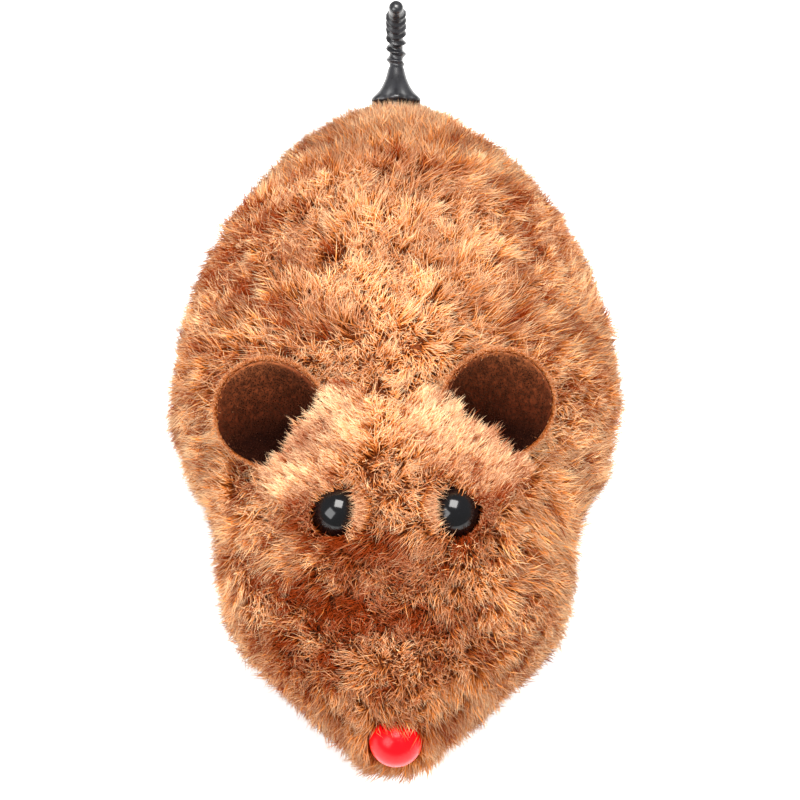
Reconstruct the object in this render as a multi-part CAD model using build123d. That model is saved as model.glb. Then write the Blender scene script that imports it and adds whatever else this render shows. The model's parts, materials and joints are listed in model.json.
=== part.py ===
from build123d import *
from collections import namedtuple
from math import acos, atan2, cos, hypot, pi, radians, sin, sqrt, tan
import os

# Clockwork plush mouse: wind-up spring motor on a plastic base plate, plastic
# dome shell, plush cover, and a ribbed tail that spins.
# Millimetres. +X is the mouse's left flank, which is the winding-knob side;
# -Y is the nose, +Y the tail, +Z up, Z = 0 the floor.
# Points given as pairs are (y, z) for parts along X and (x, y) for upright ones.

# ---------------------------------------------------------------- shared dimensions
ORIGIN_Y = 1.39           # shift that puts the footprint's middle on the origin
SIDES = {"left": 1, "right": -1}  # sign of x on each flank
FAR = 200.0               # half size of the boxes that trim the body

# body stations: y, half width, top z, bottom z, z of the widest point
BODY = [
    (-44.8, 2.2, 12.6, 7.0, 9.8),
    (-43.9, 4.0, 15.0, 4.9, 10.0),
    (-41.8, 6.0, 17.6, 3.2, 10.4),
    (-38.5, 9.6, 20.4, 1.6, 11.0),
    (-34.5, 13.8, 23.0, 0.0, 11.7),
    (-29.5, 18.1, 25.6, -2.6, 12.5),
    (-24.0, 19.9, 28.0, -4.6, 13.3),
    (-18.5, 20.3, 30.0, -5.6, 14.0),
    (-13.5, 21.6, 31.4, -6.0, 14.8),
    (-8.5, 24.5, 32.8, -6.0, 15.4),
    (-3.0, 25.9, 34.3, -6.0, 15.8),
    (4.0, 25.2, 35.6, -6.0, 16.2),
    (11.0, 23.6, 36.0, -6.0, 16.4),
    (17.5, 21.1, 35.1, -5.6, 16.6),
    (23.5, 17.2, 32.6, -4.2, 17.0),
    (28.5, 13.2, 29.4, -0.6, 17.4),
    (32.0, 9.6, 26.4, 4.2, 17.6),
    (34.2, 6.2, 23.4, 9.2, 17.6),
    (35.3, 2.8, 20.4, 14.4, 17.6),
]
UPPER_POWER = 2.15        # superellipse power of the upper half of a section
LOWER_POWER = 2.6         # and of the lower half
SECTION_POINTS = 20
MIN_HALF_WIDTH = 1.6      # inset sections narrower than this are left out

BASE_Z0, BASE_Z1 = 2.4, 3.6   # base plate faces

BEARING_GAP = 0.05        # radial play of every running shaft
PRESS_GAP = 0.01          # radial gap at pressed-on parts
OVERLAP = 0.1             # how far joined pieces run into each other

MODULE = 0.5              # gear module
PRESSURE = radians(20)
BACKLASH = 0.10           # added to each gear pair's centre distance
TOOTH_THIN = 0.05         # taken off the width of each spur tooth
ADDENDUM, DEDENDUM = 0.8 * MODULE, 1.3 * MODULE
GREAT_TEETH, LAY_PINION_TEETH = 30, 10
LAY_GEAR_TEETH, AXLE_PINION_TEETH = 24, 10
CROWN_TEETH, TAIL_PINION_TEETH = 24, 10

WHEEL_R, WHEEL_X0, WHEEL_X1 = 7.5, 9.6, 13.2
WHEEL_GAP = 0.5           # room beside and around each wheel

# shaft positions (y, z) and radii
ARBOR, ARBOR_R = (-4.0, 11.8), 1.0
AXLE, AXLE_R = (12.0, WHEEL_R), 1.0
LAY_R = 1.0

PLATE_IN, PLATE_T = 6.4, 1.0      # motor side plates, inner face |x| and sheet
PLATE_OUT = PLATE_IN + PLATE_T
SHAFT_END = PLATE_OUT + 0.5       # |x| where the shafts end outside the plates
# motor plate feet: y from, y to
PLATE_FEET = [(-11.5, -6.5), (1.0, 6.0)]

# frame pillars (y, z); the first carries the mainspring's hook
PILLARS = [(-13.4, 7.0), (-9.8, 20.6), (4.2, 22.6), (3.4, 4.9)]
PILLAR_R, RIVET_R = 1.15, 0.75

# screw posts between the shell's roof and the base plate (x, y)
POSTS = [(-9.0, -26.5), (9.0, -26.5), (-9.0, 21.5), (9.0, 21.5)]
SCREW_HEAD_TOP = BASE_Z0 + 0.45

ROLLER_R, ROLLER_L = 4.0, 9.0
ROLLER = (-21.0, ROLLER_R)
ROLLER_PIN_R = 0.8

TAIL_TILT = radians(20)   # tail shaft above the horizontal
TAIL_R = 0.9
BUSH_R, BUSH_SEAT = 2.2, 26.2     # tail bush; its seat's distance along the shaft
BELL_S0 = 30.7            # bell rim, distance from the lay shaft axis
BELL_L, BELL_R = 5.0, 2.9

KNOB_X0, KNOB_X1, KNOB_R = 18.2, 24.4, 4.0


# ---------------------------------------------------------------- helpers
def lay_axis():
    """Lay shaft centre above the line from the arbor to the axle."""
    to_arbor = MODULE * (GREAT_TEETH + LAY_PINION_TEETH) / 2 + BACKLASH
    to_axle = MODULE * (LAY_GEAR_TEETH + AXLE_PINION_TEETH) / 2 + BACKLASH
    dy, dz = AXLE[0] - ARBOR[0], AXLE[1] - ARBOR[1]
    apart = hypot(dy, dz)
    along = (to_arbor**2 - to_axle**2 + apart**2) / (2 * apart)
    above = sqrt(to_arbor**2 - along**2)
    uy, uz = dy / apart, dz / apart
    return (ARBOR[0] + along * uy - above * uz, ARBOR[1] + along * uz + above * uy)


LAY = lay_axis()


def span(side, near, far):
    """X range between two distances from the middle plane, on one side."""
    return sorted((side * near, side * far))


def polar(radius, angle, centre=(0, 0)):
    return (centre[0] + radius * cos(angle), centre[1] + radius * sin(angle))


def x_plane(centre, x=0.0):
    """Work plane square to X: its own x runs along +Y, its own y along +Z."""
    return Plane(origin=(x, *centre), x_dir=(0, 1, 0), z_dir=(1, 0, 0))


def x_prism(face, x0, x1, centre):
    return extrude(x_plane(centre, x0) * face, x1 - x0)


def x_cyl(radius, x0, x1, centre):
    return x_prism(Circle(radius), x0, x1, centre)


def x_ring(outer_r, inner_r, x0, x1, centre):
    return x_prism(Circle(outer_r) - Circle(inner_r), x0, x1, centre)


def z_cyl(radius, z0, z1, x, y):
    return extrude(Plane(origin=(x, y, z0)) * Circle(radius), z1 - z0)


def box(x0, x1, y0, y1, z0, z1):
    block = Box(x1 - x0, y1 - y0, z1 - z0)
    return block.moved(Location(((x0 + x1) / 2, (y0 + y1) / 2, (z0 + z1) / 2)))


def above(z):
    return box(-FAR, FAR, -FAR, FAR, z, FAR)


def polygon(points):
    return make_face(Polyline(*points, close=True))


def heading_plane(origin, heading):
    """Plane square to a heading in YZ, measured up from +Y; its own x is world X."""
    return Plane(origin=origin, x_dir=(1, 0, 0), z_dir=(0, cos(heading), sin(heading)))


def tail_point(s):
    """Point at distance s along the tail shaft from the lay shaft."""
    return (0, *polar(s, TAIL_TILT, LAY))


def tail_plane(s):
    return heading_plane(tail_point(s), TAIL_TILT)


def tail_cyl(radius, s0, s1):
    return extrude(tail_plane(s0) * Circle(radius), s1 - s0)


# ---------------------------------------------------------------- gear teeth
def involute(angle):
    return tan(angle) - angle


def gear_outline(teeth, addendum, dedendum, thin, turn):
    """Gear polygon with involute flanks, a tooth centred on the angle turn."""
    pitch_r = MODULE * teeth / 2
    base_r = pitch_r * cos(PRESSURE)
    tip_r, root_r = pitch_r + addendum, pitch_r - dedendum
    base_half = pi / (2 * teeth) - thin / (2 * pitch_r) + involute(PRESSURE)
    start_r = max(base_r, root_r)
    flank = []                # radius, half angle of the tooth there
    for i in range(5):
        radius = start_r + (tip_r - start_r) * i / 4
        flank.append((radius, base_half - involute(acos(min(1.0, base_r / radius)))))
    if root_r < base_r:
        flank.insert(0, (root_r, base_half))
    points = []
    for k in range(teeth):
        middle = turn + 2 * pi * k / teeth
        points += [polar(radius, middle - half) for radius, half in flank]
        points += [polar(radius, middle + half) for radius, half in reversed(flank)]
    return polygon(points)


def spur(teeth, x0, x1, centre, turn, bore):
    """Spur gear along X."""
    outline = gear_outline(teeth, ADDENDUM, DEDENDUM, TOOTH_THIN, turn)
    return x_prism(outline - Circle(bore), x0, x1, centre)


def gap_facing(angle, teeth):
    """Turn of a gear whose tooth gap meets a tooth that points along angle."""
    return angle + pi + pi / teeth


# each driving wheel points a tooth at its pinion's centre
ARBOR_TO_LAY = atan2(LAY[1] - ARBOR[1], LAY[0] - ARBOR[0])
LAY_TO_AXLE = atan2(AXLE[1] - LAY[1], AXLE[0] - LAY[0])


# ---------------------------------------------------------------- body form
def body_section(station, inset, y):
    _, half_width, top, bottom, widest = station
    half_width, top, bottom = half_width - inset, top - inset, bottom + inset
    points = []
    for i in range(SECTION_POINTS):
        angle = 2 * pi * i / SECTION_POINTS
        across, up = cos(angle), sin(angle)
        power = UPPER_POWER if up >= 0 else LOWER_POWER
        height = top - widest if up >= 0 else widest - bottom
        reach = (abs(across) ** power + abs(up) ** power) ** (-1 / power)
        points.append(Vector(half_width * across * reach, y, widest + height * up * reach))
    knots = [float(i) for i in range(SECTION_POINTS + 1)]
    return make_face(Wire([Edge.make_spline(points, periodic=True, parameters=knots)]))


def body_solid(inset):
    """Closed body form, inset from the outer surface."""
    middle = (BODY[0][0] + BODY[-1][0]) / 2
    half = (BODY[-1][0] - BODY[0][0]) / 2
    shrink = (half - inset) / half
    return loft([body_section(station, inset, middle + (station[0] - middle) * shrink)
                 for station in BODY if station[1] - inset >= MIN_HALF_WIDTH])


def surface_z(x, y):
    """Top surface height of the body at x, y."""
    for fore, aft in zip(BODY, BODY[1:]):
        if fore[0] <= y <= aft[0]:
            part = (y - fore[0]) / (aft[0] - fore[0])
            half_width, top, widest = (
                fore[i] + (aft[i] - fore[i]) * part for i in (1, 2, 4))
            drop = max(0.0, 1 - (abs(x) / half_width) ** UPPER_POWER)
            return widest + (top - widest) * drop ** (1 / UPPER_POWER)
    return 0.0


# ---------------------------------------------------------------- ears
EAR_R, EAR_T, EAR_BOWL = 6.2, 1.1, 9.0    # rim, thickness, inner radius of the dish
EAR_DISH = 1.6            # depth of the dish below the ear's plane
EAR_CENTRES = {1: (11.2, -11.3, 33.3), -1: (-13.8, -11.8, 32.2)}
EAR_AXIS = (0.20, -0.66, 0.72)    # the way the +X ear's hollow faces
EAR_ROOT_DOWN, EAR_ROOT_IN = 0.86, 0.5    # lean of the root
EAR_TAB_L, EAR_TAB_W = 3.2, 7.0
EAR_POCKET_GAP = 0.2


def ear(side, grow=0.0):
    """Dished round ear with a tab at its root; grow thickens it all round."""
    facing = Vector(EAR_AXIS[0] * side, EAR_AXIS[1], EAR_AXIS[2]).normalized()
    up = (Vector(0, 0, 1) - facing * facing.Z).normalized()
    across = up.cross(facing)
    # the root leans inwards, towards the middle of the head
    root = (up * -EAR_ROOT_DOWN + across * (-EAR_ROOT_IN * side)).normalized()
    plane = Plane(origin=EAR_CENTRES[side], x_dir=root, z_dir=facing)
    bowl = Sphere(EAR_BOWL + EAR_T + grow) - Sphere(EAR_BOWL - grow)
    bowl = bowl.moved(Location((0, 0, EAR_BOWL - EAR_DISH)))
    bowl = bowl & Cylinder(EAR_R + grow, 30)
    # keep only the near side of the hollow ball
    bowl = bowl & Box(40, 40, 12).moved(Location((0, 0, -2.0)))
    tab = Box(EAR_TAB_L + 2 * grow, EAR_TAB_W + 2 * grow, EAR_T + 2 * grow)
    tab = tab.moved(Location((EAR_R + 0.6, 0, 0.05)))
    return plane.location * (bowl + tab)


# ---------------------------------------------------------------- eyes, nose
EYE_X, EYE_Y = 6.8, -21.8
EYE_AXIS = (0.239, -0.36, 0.90)   # outward axis of the +X eye
EYE_SINK = 1.35           # eye centre below the body surface
NOSE = (0.0, -43.0, 12.7)
NOSE_AXIS = (0, -0.94, 0.34)
BEAD_BACK = 0.45          # flat back behind the centre, over the bead's radius
STEM_START = 0.4          # stem start behind the centre, over the bead's radius
STEM_R, STEM_HOLE_R = 0.8, 0.95
BEAD_GAP = 0.12           # between a bead and its pocket
CUT_CUBE = 20.0           # cube that keeps the front of a bead
WASHER_R, WASHER_BORE_R, WASHER_T = 2.3, 0.82, 0.7

Bead = namedtuple("Bead", "name location radius stem_l washer_depth")


def eye_place(side):
    axis = Vector(EYE_AXIS[0] * side, EYE_AXIS[1], EYE_AXIS[2]).normalized()
    x = side * EYE_X
    centre = Vector(x, EYE_Y, surface_z(x, EYE_Y)) - axis * EYE_SINK
    return Plane(origin=centre, z_dir=axis).location


BEADS = [Bead(f"eye_{word}", eye_place(side), radius=2.9, stem_l=4.6, washer_depth=5.3)
         for word, side in SIDES.items()]
BEADS.append(Bead("nose_bead", Plane(origin=NOSE, z_dir=Vector(NOSE_AXIS).normalized()).location,
                  radius=3.0, stem_l=6.2, washer_depth=6.6))


def bead_form(bead, gap, stem_r, stem_l):
    """Round bead with a flat back and a stem behind it, in its own frame."""
    back = BEAD_BACK * bead.radius + gap
    cube = Box(CUT_CUBE, CUT_CUBE, CUT_CUBE).moved(Location((0, 0, CUT_CUBE / 2 - back)))
    form = Sphere(bead.radius + gap) & cube
    form += Cylinder(stem_r, stem_l).moved(
        Location((0, 0, -STEM_START * bead.radius - stem_l / 2)))
    return form


def bead_solid(bead):
    return bead.location * bead_form(bead, 0.0, STEM_R, bead.stem_l)


def bead_pocket(bead):
    pocket = bead_form(bead, BEAD_GAP, STEM_HOLE_R, bead.stem_l + 4)
    # open the pocket outwards
    pocket += Cylinder(bead.radius + BEAD_GAP, 6).moved(Location((0, 0, 3)))
    return bead.location * pocket


def stem_hole(bead):
    length = bead.stem_l + 8
    return bead.location * Cylinder(STEM_HOLE_R, length).moved(Location((0, 0, -length / 2)))


def bead_washer(bead):
    washer = Cylinder(WASHER_R, WASHER_T) - Cylinder(WASHER_BORE_R, 2)
    return bead.location * washer.moved(Location((0, 0, -bead.washer_depth)))


# ---------------------------------------------------------------- cover and shell
COVER_T = 2.4             # plush cloth with its pile
COVER_HEM_Z = 3.0         # lower edge of the cover
SHELL_GAP = 0.25          # between cover and shell
SHELL_T = 1.2             # dome shell wall
SHELL_EDGE_Z = 3.75       # lower edge of the shell
POST_R, POST_BORE_R, POST_BORE_TOP = 2.0, 1.02, 12.0
POST_TOP = 34.0           # above the roof; the shell's form trims it
TAIL_CUT_S0, TAIL_CUT_S1 = 18, 40     # reach of the cuts along the tail shaft


def plush_cover():
    cover = (body_solid(0.0) - body_solid(COVER_T)) & above(COVER_HEM_Z)
    for side in SIDES.values():
        cover -= ear(side, EAR_POCKET_GAP)
    for bead in BEADS:
        cover -= bead_pocket(bead)
    # round opening for the winding knob
    cover -= x_cyl(KNOB_R + 1.6, 10, 40, ARBOR)
    # room for the tail's bell and the bush
    cover -= tail_cyl(BELL_R + 0.35, BELL_S0 - 0.9, 45)
    cover -= tail_cyl(BUSH_R + 0.6, TAIL_CUT_S0, TAIL_CUT_S1)
    # loose scraps left by the cuts are dropped
    return max(cover.solids(), key=lambda solid: solid.volume)


def body_shell():
    outer = body_solid(COVER_T + SHELL_GAP)
    shell = (outer - body_solid(COVER_T + SHELL_GAP + SHELL_T)) & above(SHELL_EDGE_Z)
    # screw posts hang from the roof down to the base plate
    for x, y in POSTS:
        shell += (z_cyl(POST_R, BASE_Z1 + 0.05, POST_TOP, x, y) & outer)
    for x, y in POSTS:
        shell -= z_cyl(POST_BORE_R, 0.0, POST_BORE_TOP, x, y)
    for bead in BEADS:
        shell -= stem_hole(bead)
    shell -= x_cyl(KNOB_R + 0.8, 10, 40, ARBOR)
    # hole for the tail bush, then a spot face inside for its flange
    shell -= tail_cyl(BUSH_R + 0.03, TAIL_CUT_S0, TAIL_CUT_S1)
    shell -= tail_cyl(BUSH_R + 0.56, TAIL_CUT_S0, BUSH_SEAT + 0.02)
    # room for the tyres
    for side in (-1, 1):
        x0, x1 = span(side, WHEEL_X0 - WHEEL_GAP, WHEEL_X1 + WHEEL_GAP)
        shell -= x_cyl(WHEEL_R + WHEEL_GAP, x0, x1, AXLE)
    return shell


# ---------------------------------------------------------------- base plate
BASE_INSET = 3.0          # base plate edge in from the body surface
WHEEL_SLOT_HALF = 6.9     # half length of a wheel opening
ROLLER_SLOT_HALF = 4.4
CHEEK_HALF, CHEEK_T, CHEEK_TOP = 2.2, 1.4, 6.2
CHEEK_IN = ROLLER_L / 2 + 0.5     # inner face of the roller cheeks, |x|
PAD_H = 0.4               # belly pad stands this far below the plate
PAD_HALF_W, PAD_Y0, PAD_Y1 = 5.6, -14.0, 18.0
FOOT_GAP_X, FOOT_GAP_Y = 0.1, 0.15
CUT_TOP = 9               # above everything on the plate
HOLE_TOP = 5              # above the plate's upper face


def base_plate():
    base = body_solid(BASE_INSET) & box(-FAR, FAR, -FAR, FAR, BASE_Z0, BASE_Z1)
    roller_y = ROLLER[0]
    for side in (-1, 1):
        x0, x1 = span(side, WHEEL_X0 - WHEEL_GAP, WHEEL_X1 + WHEEL_GAP)
        base -= box(x0, x1, AXLE[0] - WHEEL_SLOT_HALF, AXLE[0] + WHEEL_SLOT_HALF, 0, CUT_TOP)
    base -= box(-CHEEK_IN, CHEEK_IN,
                roller_y - ROLLER_SLOT_HALF, roller_y + ROLLER_SLOT_HALF, 0, CUT_TOP)
    # cheeks that carry the front roller's pin
    for side in (-1, 1):
        x0, x1 = span(side, CHEEK_IN, CHEEK_IN + CHEEK_T)
        base += box(x0, x1, roller_y - CHEEK_HALF, roller_y + CHEEK_HALF,
                    BASE_Z1 - 0.3, CHEEK_TOP)
    base -= x_cyl(ROLLER_PIN_R + PRESS_GAP, -7, 7, ROLLER)
    # flat belly pad between the wheels
    base += box(-PAD_HALF_W, PAD_HALF_W, PAD_Y0, PAD_Y1, BASE_Z0 - PAD_H, BASE_Z0 + OVERLAP)
    # slots for the motor plates' feet
    for side in (-1, 1):
        x0, x1 = span(side, PLATE_IN - FOOT_GAP_X, PLATE_OUT + FOOT_GAP_X)
        for y0, y1 in PLATE_FEET:
            base -= box(x0, x1, y0 - FOOT_GAP_Y, y1 + FOOT_GAP_Y, 0, HOLE_TOP)
    # screw holes with counterbores below
    for x, y in POSTS:
        base -= z_cyl(1.15, 0, HOLE_TOP, x, y)
        base -= z_cyl(2.1, BASE_Z0 - 1, SCREW_HEAD_TOP, x, y)
    return base


SCREW_HEAD_R, SCREW_R, SCREW_TIP_Z = 1.9, 0.95, 9.5
CROSS_HALF_L, CROSS_HALF_W = 1.5, 0.2


def base_screw(x, y):
    """Screw driven from below, with a cross slot in its head."""
    screw = (z_cyl(SCREW_HEAD_R, BASE_Z0 - 0.15, SCREW_HEAD_TOP, x, y)
             + z_cyl(SCREW_R, BASE_Z0, SCREW_TIP_Z, x, y))
    for half_x, half_y in ((CROSS_HALF_L, CROSS_HALF_W), (CROSS_HALF_W, CROSS_HALF_L)):
        screw -= box(x - half_x, x + half_x, y - half_y, y + half_y, 0, BASE_Z0 + 0.1)
    return screw


# ---------------------------------------------------------------- motor frame
# motor plate corners (y, z)
PLATE_OUTLINE = [
    (-15.4, 5.2), (-12.4, 4.0), (5.6, 3.65), (10.4, 4.4), (15.4, 5.6), (17.6, 9.0),
    (17.9, 19.2), (14.8, 21.0), (6.4, 24.2), (-10.6, 22.6), (-15.6, 16.0),
]
PLATE_CORNER_R = 0.9
FOOT_TOP = 5.4
RIVET_END = 0.4           # rivets stand out of the plates


def motor_plate(side):
    x0, x1 = span(side, PLATE_IN, PLATE_OUT)
    plate = extrude(x_plane((0, 0), x0) * polygon(PLATE_OUTLINE), PLATE_T)
    plate = fillet(plate.edges().filter_by(Axis.X), PLATE_CORNER_R)
    for y0, y1 in PLATE_FEET:
        plate += box(x0, x1, y0, y1, BASE_Z0 + 0.1, FOOT_TOP)
    for centre in PILLARS:
        plate -= x_cyl(RIVET_R + PRESS_GAP, -9, 9, centre)
    for centre, radius in ((ARBOR, ARBOR_R), (LAY, LAY_R), (AXLE, AXLE_R)):
        plate -= x_cyl(radius + BEARING_GAP, -9, 9, centre)
    return plate


def frame_pillar(centre):
    pillar = x_cyl(PILLAR_R, -PLATE_IN, PLATE_IN, centre)
    pillar += x_cyl(RIVET_R, -PLATE_OUT - RIVET_END, PLATE_OUT + RIVET_END, centre)
    return pillar


# ---------------------------------------------------------------- mainspring
SPRING_X0, SPRING_X1 = -1.2, 3.0
SPRING_T = 0.30
SPRING_TURNS = 6.0
SPRING_R0, SPRING_R1 = 2.3, 6.9
SPRING_STEPS = 120
HOOK_START = 0.93         # share of the band's angle where it swings out to the hook


def mainspring():
    """Spiral strip from the arbor out to the hook on the first pillar."""
    dy, dz = PILLARS[0][0] - ARBOR[0], PILLARS[0][1] - ARBOR[1]
    hook_angle, hook_distance = atan2(dz, dy), hypot(dy, dz)
    start_angle = hook_angle - 2 * pi * SPRING_TURNS
    inner, outer = [], []
    for i in range(SPRING_STEPS + 1):
        part = i / SPRING_STEPS
        angle = start_angle + (hook_angle - start_angle) * part
        radius = SPRING_R0 + (SPRING_R1 - SPRING_R0) * part
        swing = max(0.0, (part - HOOK_START) / (1 - HOOK_START))
        radius += (hook_distance - PILLAR_R - 0.45 - SPRING_R1) * swing ** 2
        inner.append(polar(radius, angle))
        outer.append(polar(radius + SPRING_T, angle))
    band = make_face(Spline(*inner) + Line(inner[-1], outer[-1]) + Spline(*outer[::-1])
                     + Line(outer[0], inner[0]))
    hook = Pos(*polar(hook_distance, hook_angle)) * (
        Circle(PILLAR_R + 0.35) - Circle(PILLAR_R + 0.03))
    return x_prism(band + hook, SPRING_X0, SPRING_X1, ARBOR)


# ---------------------------------------------------------------- winding train
GREAT_X0, GREAT_X1 = 4.7, 5.9
GREAT_HUB_R = 1.9
# posts on the great wheel, (y, z) from the arbor
CLICK_ANGLE = radians(118)
CLICK_POST, CLICK_POST_R = polar(5.6, CLICK_ANGLE), 0.5
LEAF_POST, LEAF_POST_R = polar(6.0, radians(62)), 0.45


def great_wheel():
    bore = ARBOR_R + BEARING_GAP
    wheel = spur(GREAT_TEETH, GREAT_X0, GREAT_X1, ARBOR, ARBOR_TO_LAY, bore)
    wheel += x_ring(GREAT_HUB_R, bore, GREAT_X1 - OVERLAP, PLATE_IN - 0.1, ARBOR)
    # headed click post and the click spring's post on the inner face
    click_at = (ARBOR[0] + CLICK_POST[0], ARBOR[1] + CLICK_POST[1])
    leaf_at = (ARBOR[0] + LEAF_POST[0], ARBOR[1] + LEAF_POST[1])
    wheel += x_cyl(CLICK_POST_R, 3.4, GREAT_X0 + OVERLAP, click_at)
    wheel += x_cyl(0.8, 3.2, 3.45, click_at)
    wheel += x_cyl(LEAF_POST_R, 3.6, GREAT_X0 + OVERLAP, leaf_at)
    return wheel


RATCHET_X0, RATCHET_X1 = 3.55, 4.35
RATCHET_R, RATCHET_ROOT_R = 3.1, 2.45
RATCHET_TEETH = 12
RATCHET_RISE = 0.94       # share of the tooth pitch taken by the ramp


def ratchet_wheel():
    """Saw-toothed wheel pressed on the arbor."""
    points = []
    for k in range(RATCHET_TEETH):
        start = 2 * pi * k / RATCHET_TEETH
        points.append(polar(RATCHET_ROOT_R, start))
        points.append(polar(RATCHET_R, start + 2 * pi / RATCHET_TEETH * RATCHET_RISE))
    face = polygon(points) - Circle(ARBOR_R + PRESS_GAP)
    return x_prism(face, RATCHET_X0, RATCHET_X1, ARBOR)


CLICK_X0, CLICK_T = 3.6, 0.8
CLICK_HALF_W = 0.95       # half width of the arm at its post
CLICK_EYE_R = 1.0


def side_step(start, end, width):
    """Step of the given width, square to the line from start to end."""
    dy, dz = end[0] - start[0], end[1] - start[1]
    length = hypot(dy, dz)
    return -dz / length * width, dy / length * width


def click_pawl():
    """Small arm whose nose rides just clear of the ratchet tips."""
    tip_angle = CLICK_ANGLE + radians(34)
    tip = polar(RATCHET_R + 0.10, tip_angle)
    heel = polar(RATCHET_R + 0.95, tip_angle + 0.03)
    y, z = CLICK_POST
    dy, dz = side_step(CLICK_POST, tip, CLICK_HALF_W)
    arm = polygon([(y - dy, z - dz), heel, tip, (y + dy, z + dz)])
    face = arm + Pos(y, z) * Circle(CLICK_EYE_R)
    face -= Pos(y, z) * Circle(CLICK_POST_R + BEARING_GAP)
    return x_prism(face, CLICK_X0, CLICK_X0 + CLICK_T, ARBOR)


LEAF_X0, LEAF_W = 3.75, 0.5
LEAF_HALF_T = 0.12
LEAF_EYE_R = 0.75


def click_spring():
    """Thin leaf held on its post, standing off the click."""
    y, z = LEAF_POST
    end_y, end_z = CLICK_POST[0] + 0.2, CLICK_POST[1] + 1.35
    dy, dz = side_step(LEAF_POST, (end_y, end_z), LEAF_HALF_T)
    leaf = polygon([(y + dy, z + dz), (end_y + dy, end_z + dz),
                    (end_y - dy, end_z - dz), (y - dy, z - dz)])
    face = (leaf + Pos(y, z) * Circle(LEAF_EYE_R)) - Pos(y, z) * Circle(LEAF_POST_R + PRESS_GAP)
    return x_prism(face, LEAF_X0, LEAF_X0 + LEAF_W, ARBOR)


ARBOR_HUB_R = 1.75
SQUARE, SQUARE_X0, SQUARE_X1 = 1.4, 16.4, 22.8    # squared knob end


def winding_arbor():
    """Arbor with a hub for the spring's inner end; the knob end is squared."""
    arbor = x_cyl(ARBOR_R, -SHAFT_END, SQUARE_X0 + 0.5, ARBOR)
    arbor += x_cyl(ARBOR_HUB_R, SPRING_X0 - 0.2, SPRING_X1 + 0.2, ARBOR)
    arbor += x_prism(Rectangle(SQUARE, SQUARE), SQUARE_X0, SQUARE_X1, ARBOR)
    return arbor


BAR_H, BAR_L, BAR_W, BAR_ROUND = 2.6, 7.0, 2.0, 0.6
FLUTES, FLUTE_R, FLUTE_OUT = 18, 0.34, 0.08
SQUARE_FIT = 0.04


def winding_knob():
    """Fluted drum with a finger bar across its face."""
    knob = x_cyl(KNOB_R, KNOB_X0, KNOB_X1 - BAR_H, ARBOR)
    for k in range(FLUTES):
        centre = polar(KNOB_R + FLUTE_OUT, 2 * pi * k / FLUTES, ARBOR)
        knob -= x_cyl(FLUTE_R, KNOB_X0 - 1, KNOB_X1, centre)
    bar = x_prism(SlotOverall(BAR_L, BAR_W), KNOB_X1 - BAR_H - OVERLAP, KNOB_X1, ARBOR)
    knob += fillet(bar.faces().sort_by(Axis.X)[-1].edges(), BAR_ROUND)
    bore = Rectangle(SQUARE + SQUARE_FIT, SQUARE + SQUARE_FIT)
    knob -= x_prism(bore, KNOB_X0 - 1, SQUARE_X1 + 0.1, ARBOR)
    return knob


# ---------------------------------------------------------------- crown gear
CROWN_PITCH_R = MODULE * CROWN_TEETH / 2
CROWN_R0, CROWN_R1 = CROWN_PITCH_R - 0.5, CROWN_PITCH_R + 0.5     # toothed band
CROWN_PLANE = -MODULE * TAIL_PINION_TEETH / 2 - 0.06      # x of the pitch plane
CROWN_BACK, CROWN_ROOT = CROWN_PLANE - 1.75, CROWN_PLANE - 0.65
CROWN_ADDENDUM = 0.36
CROWN_SINK = 0.05         # tooth foot below the disc's face
ROOT_W, TIP_W = 0.86, 0.30        # tooth widths at the disc and at the tip


def crown_gear():
    """Disc with teeth on its +X face, towards the tail pinion."""
    crown = x_ring(CROWN_R1, LAY_R + PRESS_GAP, CROWN_BACK, CROWN_ROOT, LAY)
    foot_x = CROWN_ROOT - CROWN_SINK
    height = CROWN_ADDENDUM + CROWN_PLANE - foot_x
    section = polygon([(-ROOT_W / 2, 0), (ROOT_W / 2, 0), (TIP_W / 2, height),
                       (-TIP_W / 2, height)])
    for k in range(CROWN_TEETH):
        angle = TAIL_TILT + 2 * pi * k / CROWN_TEETH
        # radial prism; the plane's own x is the tangent, its own y is +X
        plane = Plane(origin=(foot_x, *polar(CROWN_R0, angle, LAY)),
                      x_dir=(0, -sin(angle), cos(angle)), z_dir=(0, cos(angle), sin(angle)))
        crown += extrude(plane * section, CROWN_R1 - CROWN_R0)
    return crown


# ---------------------------------------------------------------- wheels
TYRE_T, TYRE_ROUND = 1.4, 0.45
RIM_R = WHEEL_R - TYRE_T
AXLE_END = WHEEL_X1 + 0.6
RIM_WALL, BOSS_R, DISH_DEPTH = 0.9, 2.1, 1.2
LIGHT_HOLES, LIGHT_HOLE_R, LIGHT_HOLE_AT = 5, 0.85, 3.7


def wheel(side):
    """Wheel with a dished outer face, a boss and a ring of lightening holes."""
    x0, x1 = span(side, WHEEL_X0, WHEEL_X1)
    body = x_cyl(RIM_R, x0, x1, AXLE)
    body -= x_ring(RIM_R - RIM_WALL, BOSS_R, *span(side, WHEEL_X1 - DISH_DEPTH, WHEEL_X1), AXLE)
    for k in range(LIGHT_HOLES):
        centre = polar(LIGHT_HOLE_AT, pi / 2 + 2 * pi * k / LIGHT_HOLES, AXLE)
        body -= x_cyl(LIGHT_HOLE_R, x0 - 1, x1 + 1, centre)
    body -= x_cyl(AXLE_R + PRESS_GAP, x0 - 1, x1 + 1, AXLE)
    return body


def tyre(side):
    ring = x_ring(WHEEL_R, RIM_R + PRESS_GAP, *span(side, WHEEL_X0, WHEEL_X1), AXLE)
    # the two largest circles are the tread's edges
    circles = ring.edges().filter_by(GeomType.CIRCLE).sort_by(lambda edge: -edge.radius)
    return fillet(circles[:2], TYRE_ROUND)


# ---------------------------------------------------------------- front roller
ROLLER_ROUND = 0.6
RECESS_R1, RECESS_R0, RECESS_DEPTH = 3.0, 1.6, 0.6
PIN_END = ROLLER_L / 2 + 1.8


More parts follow.
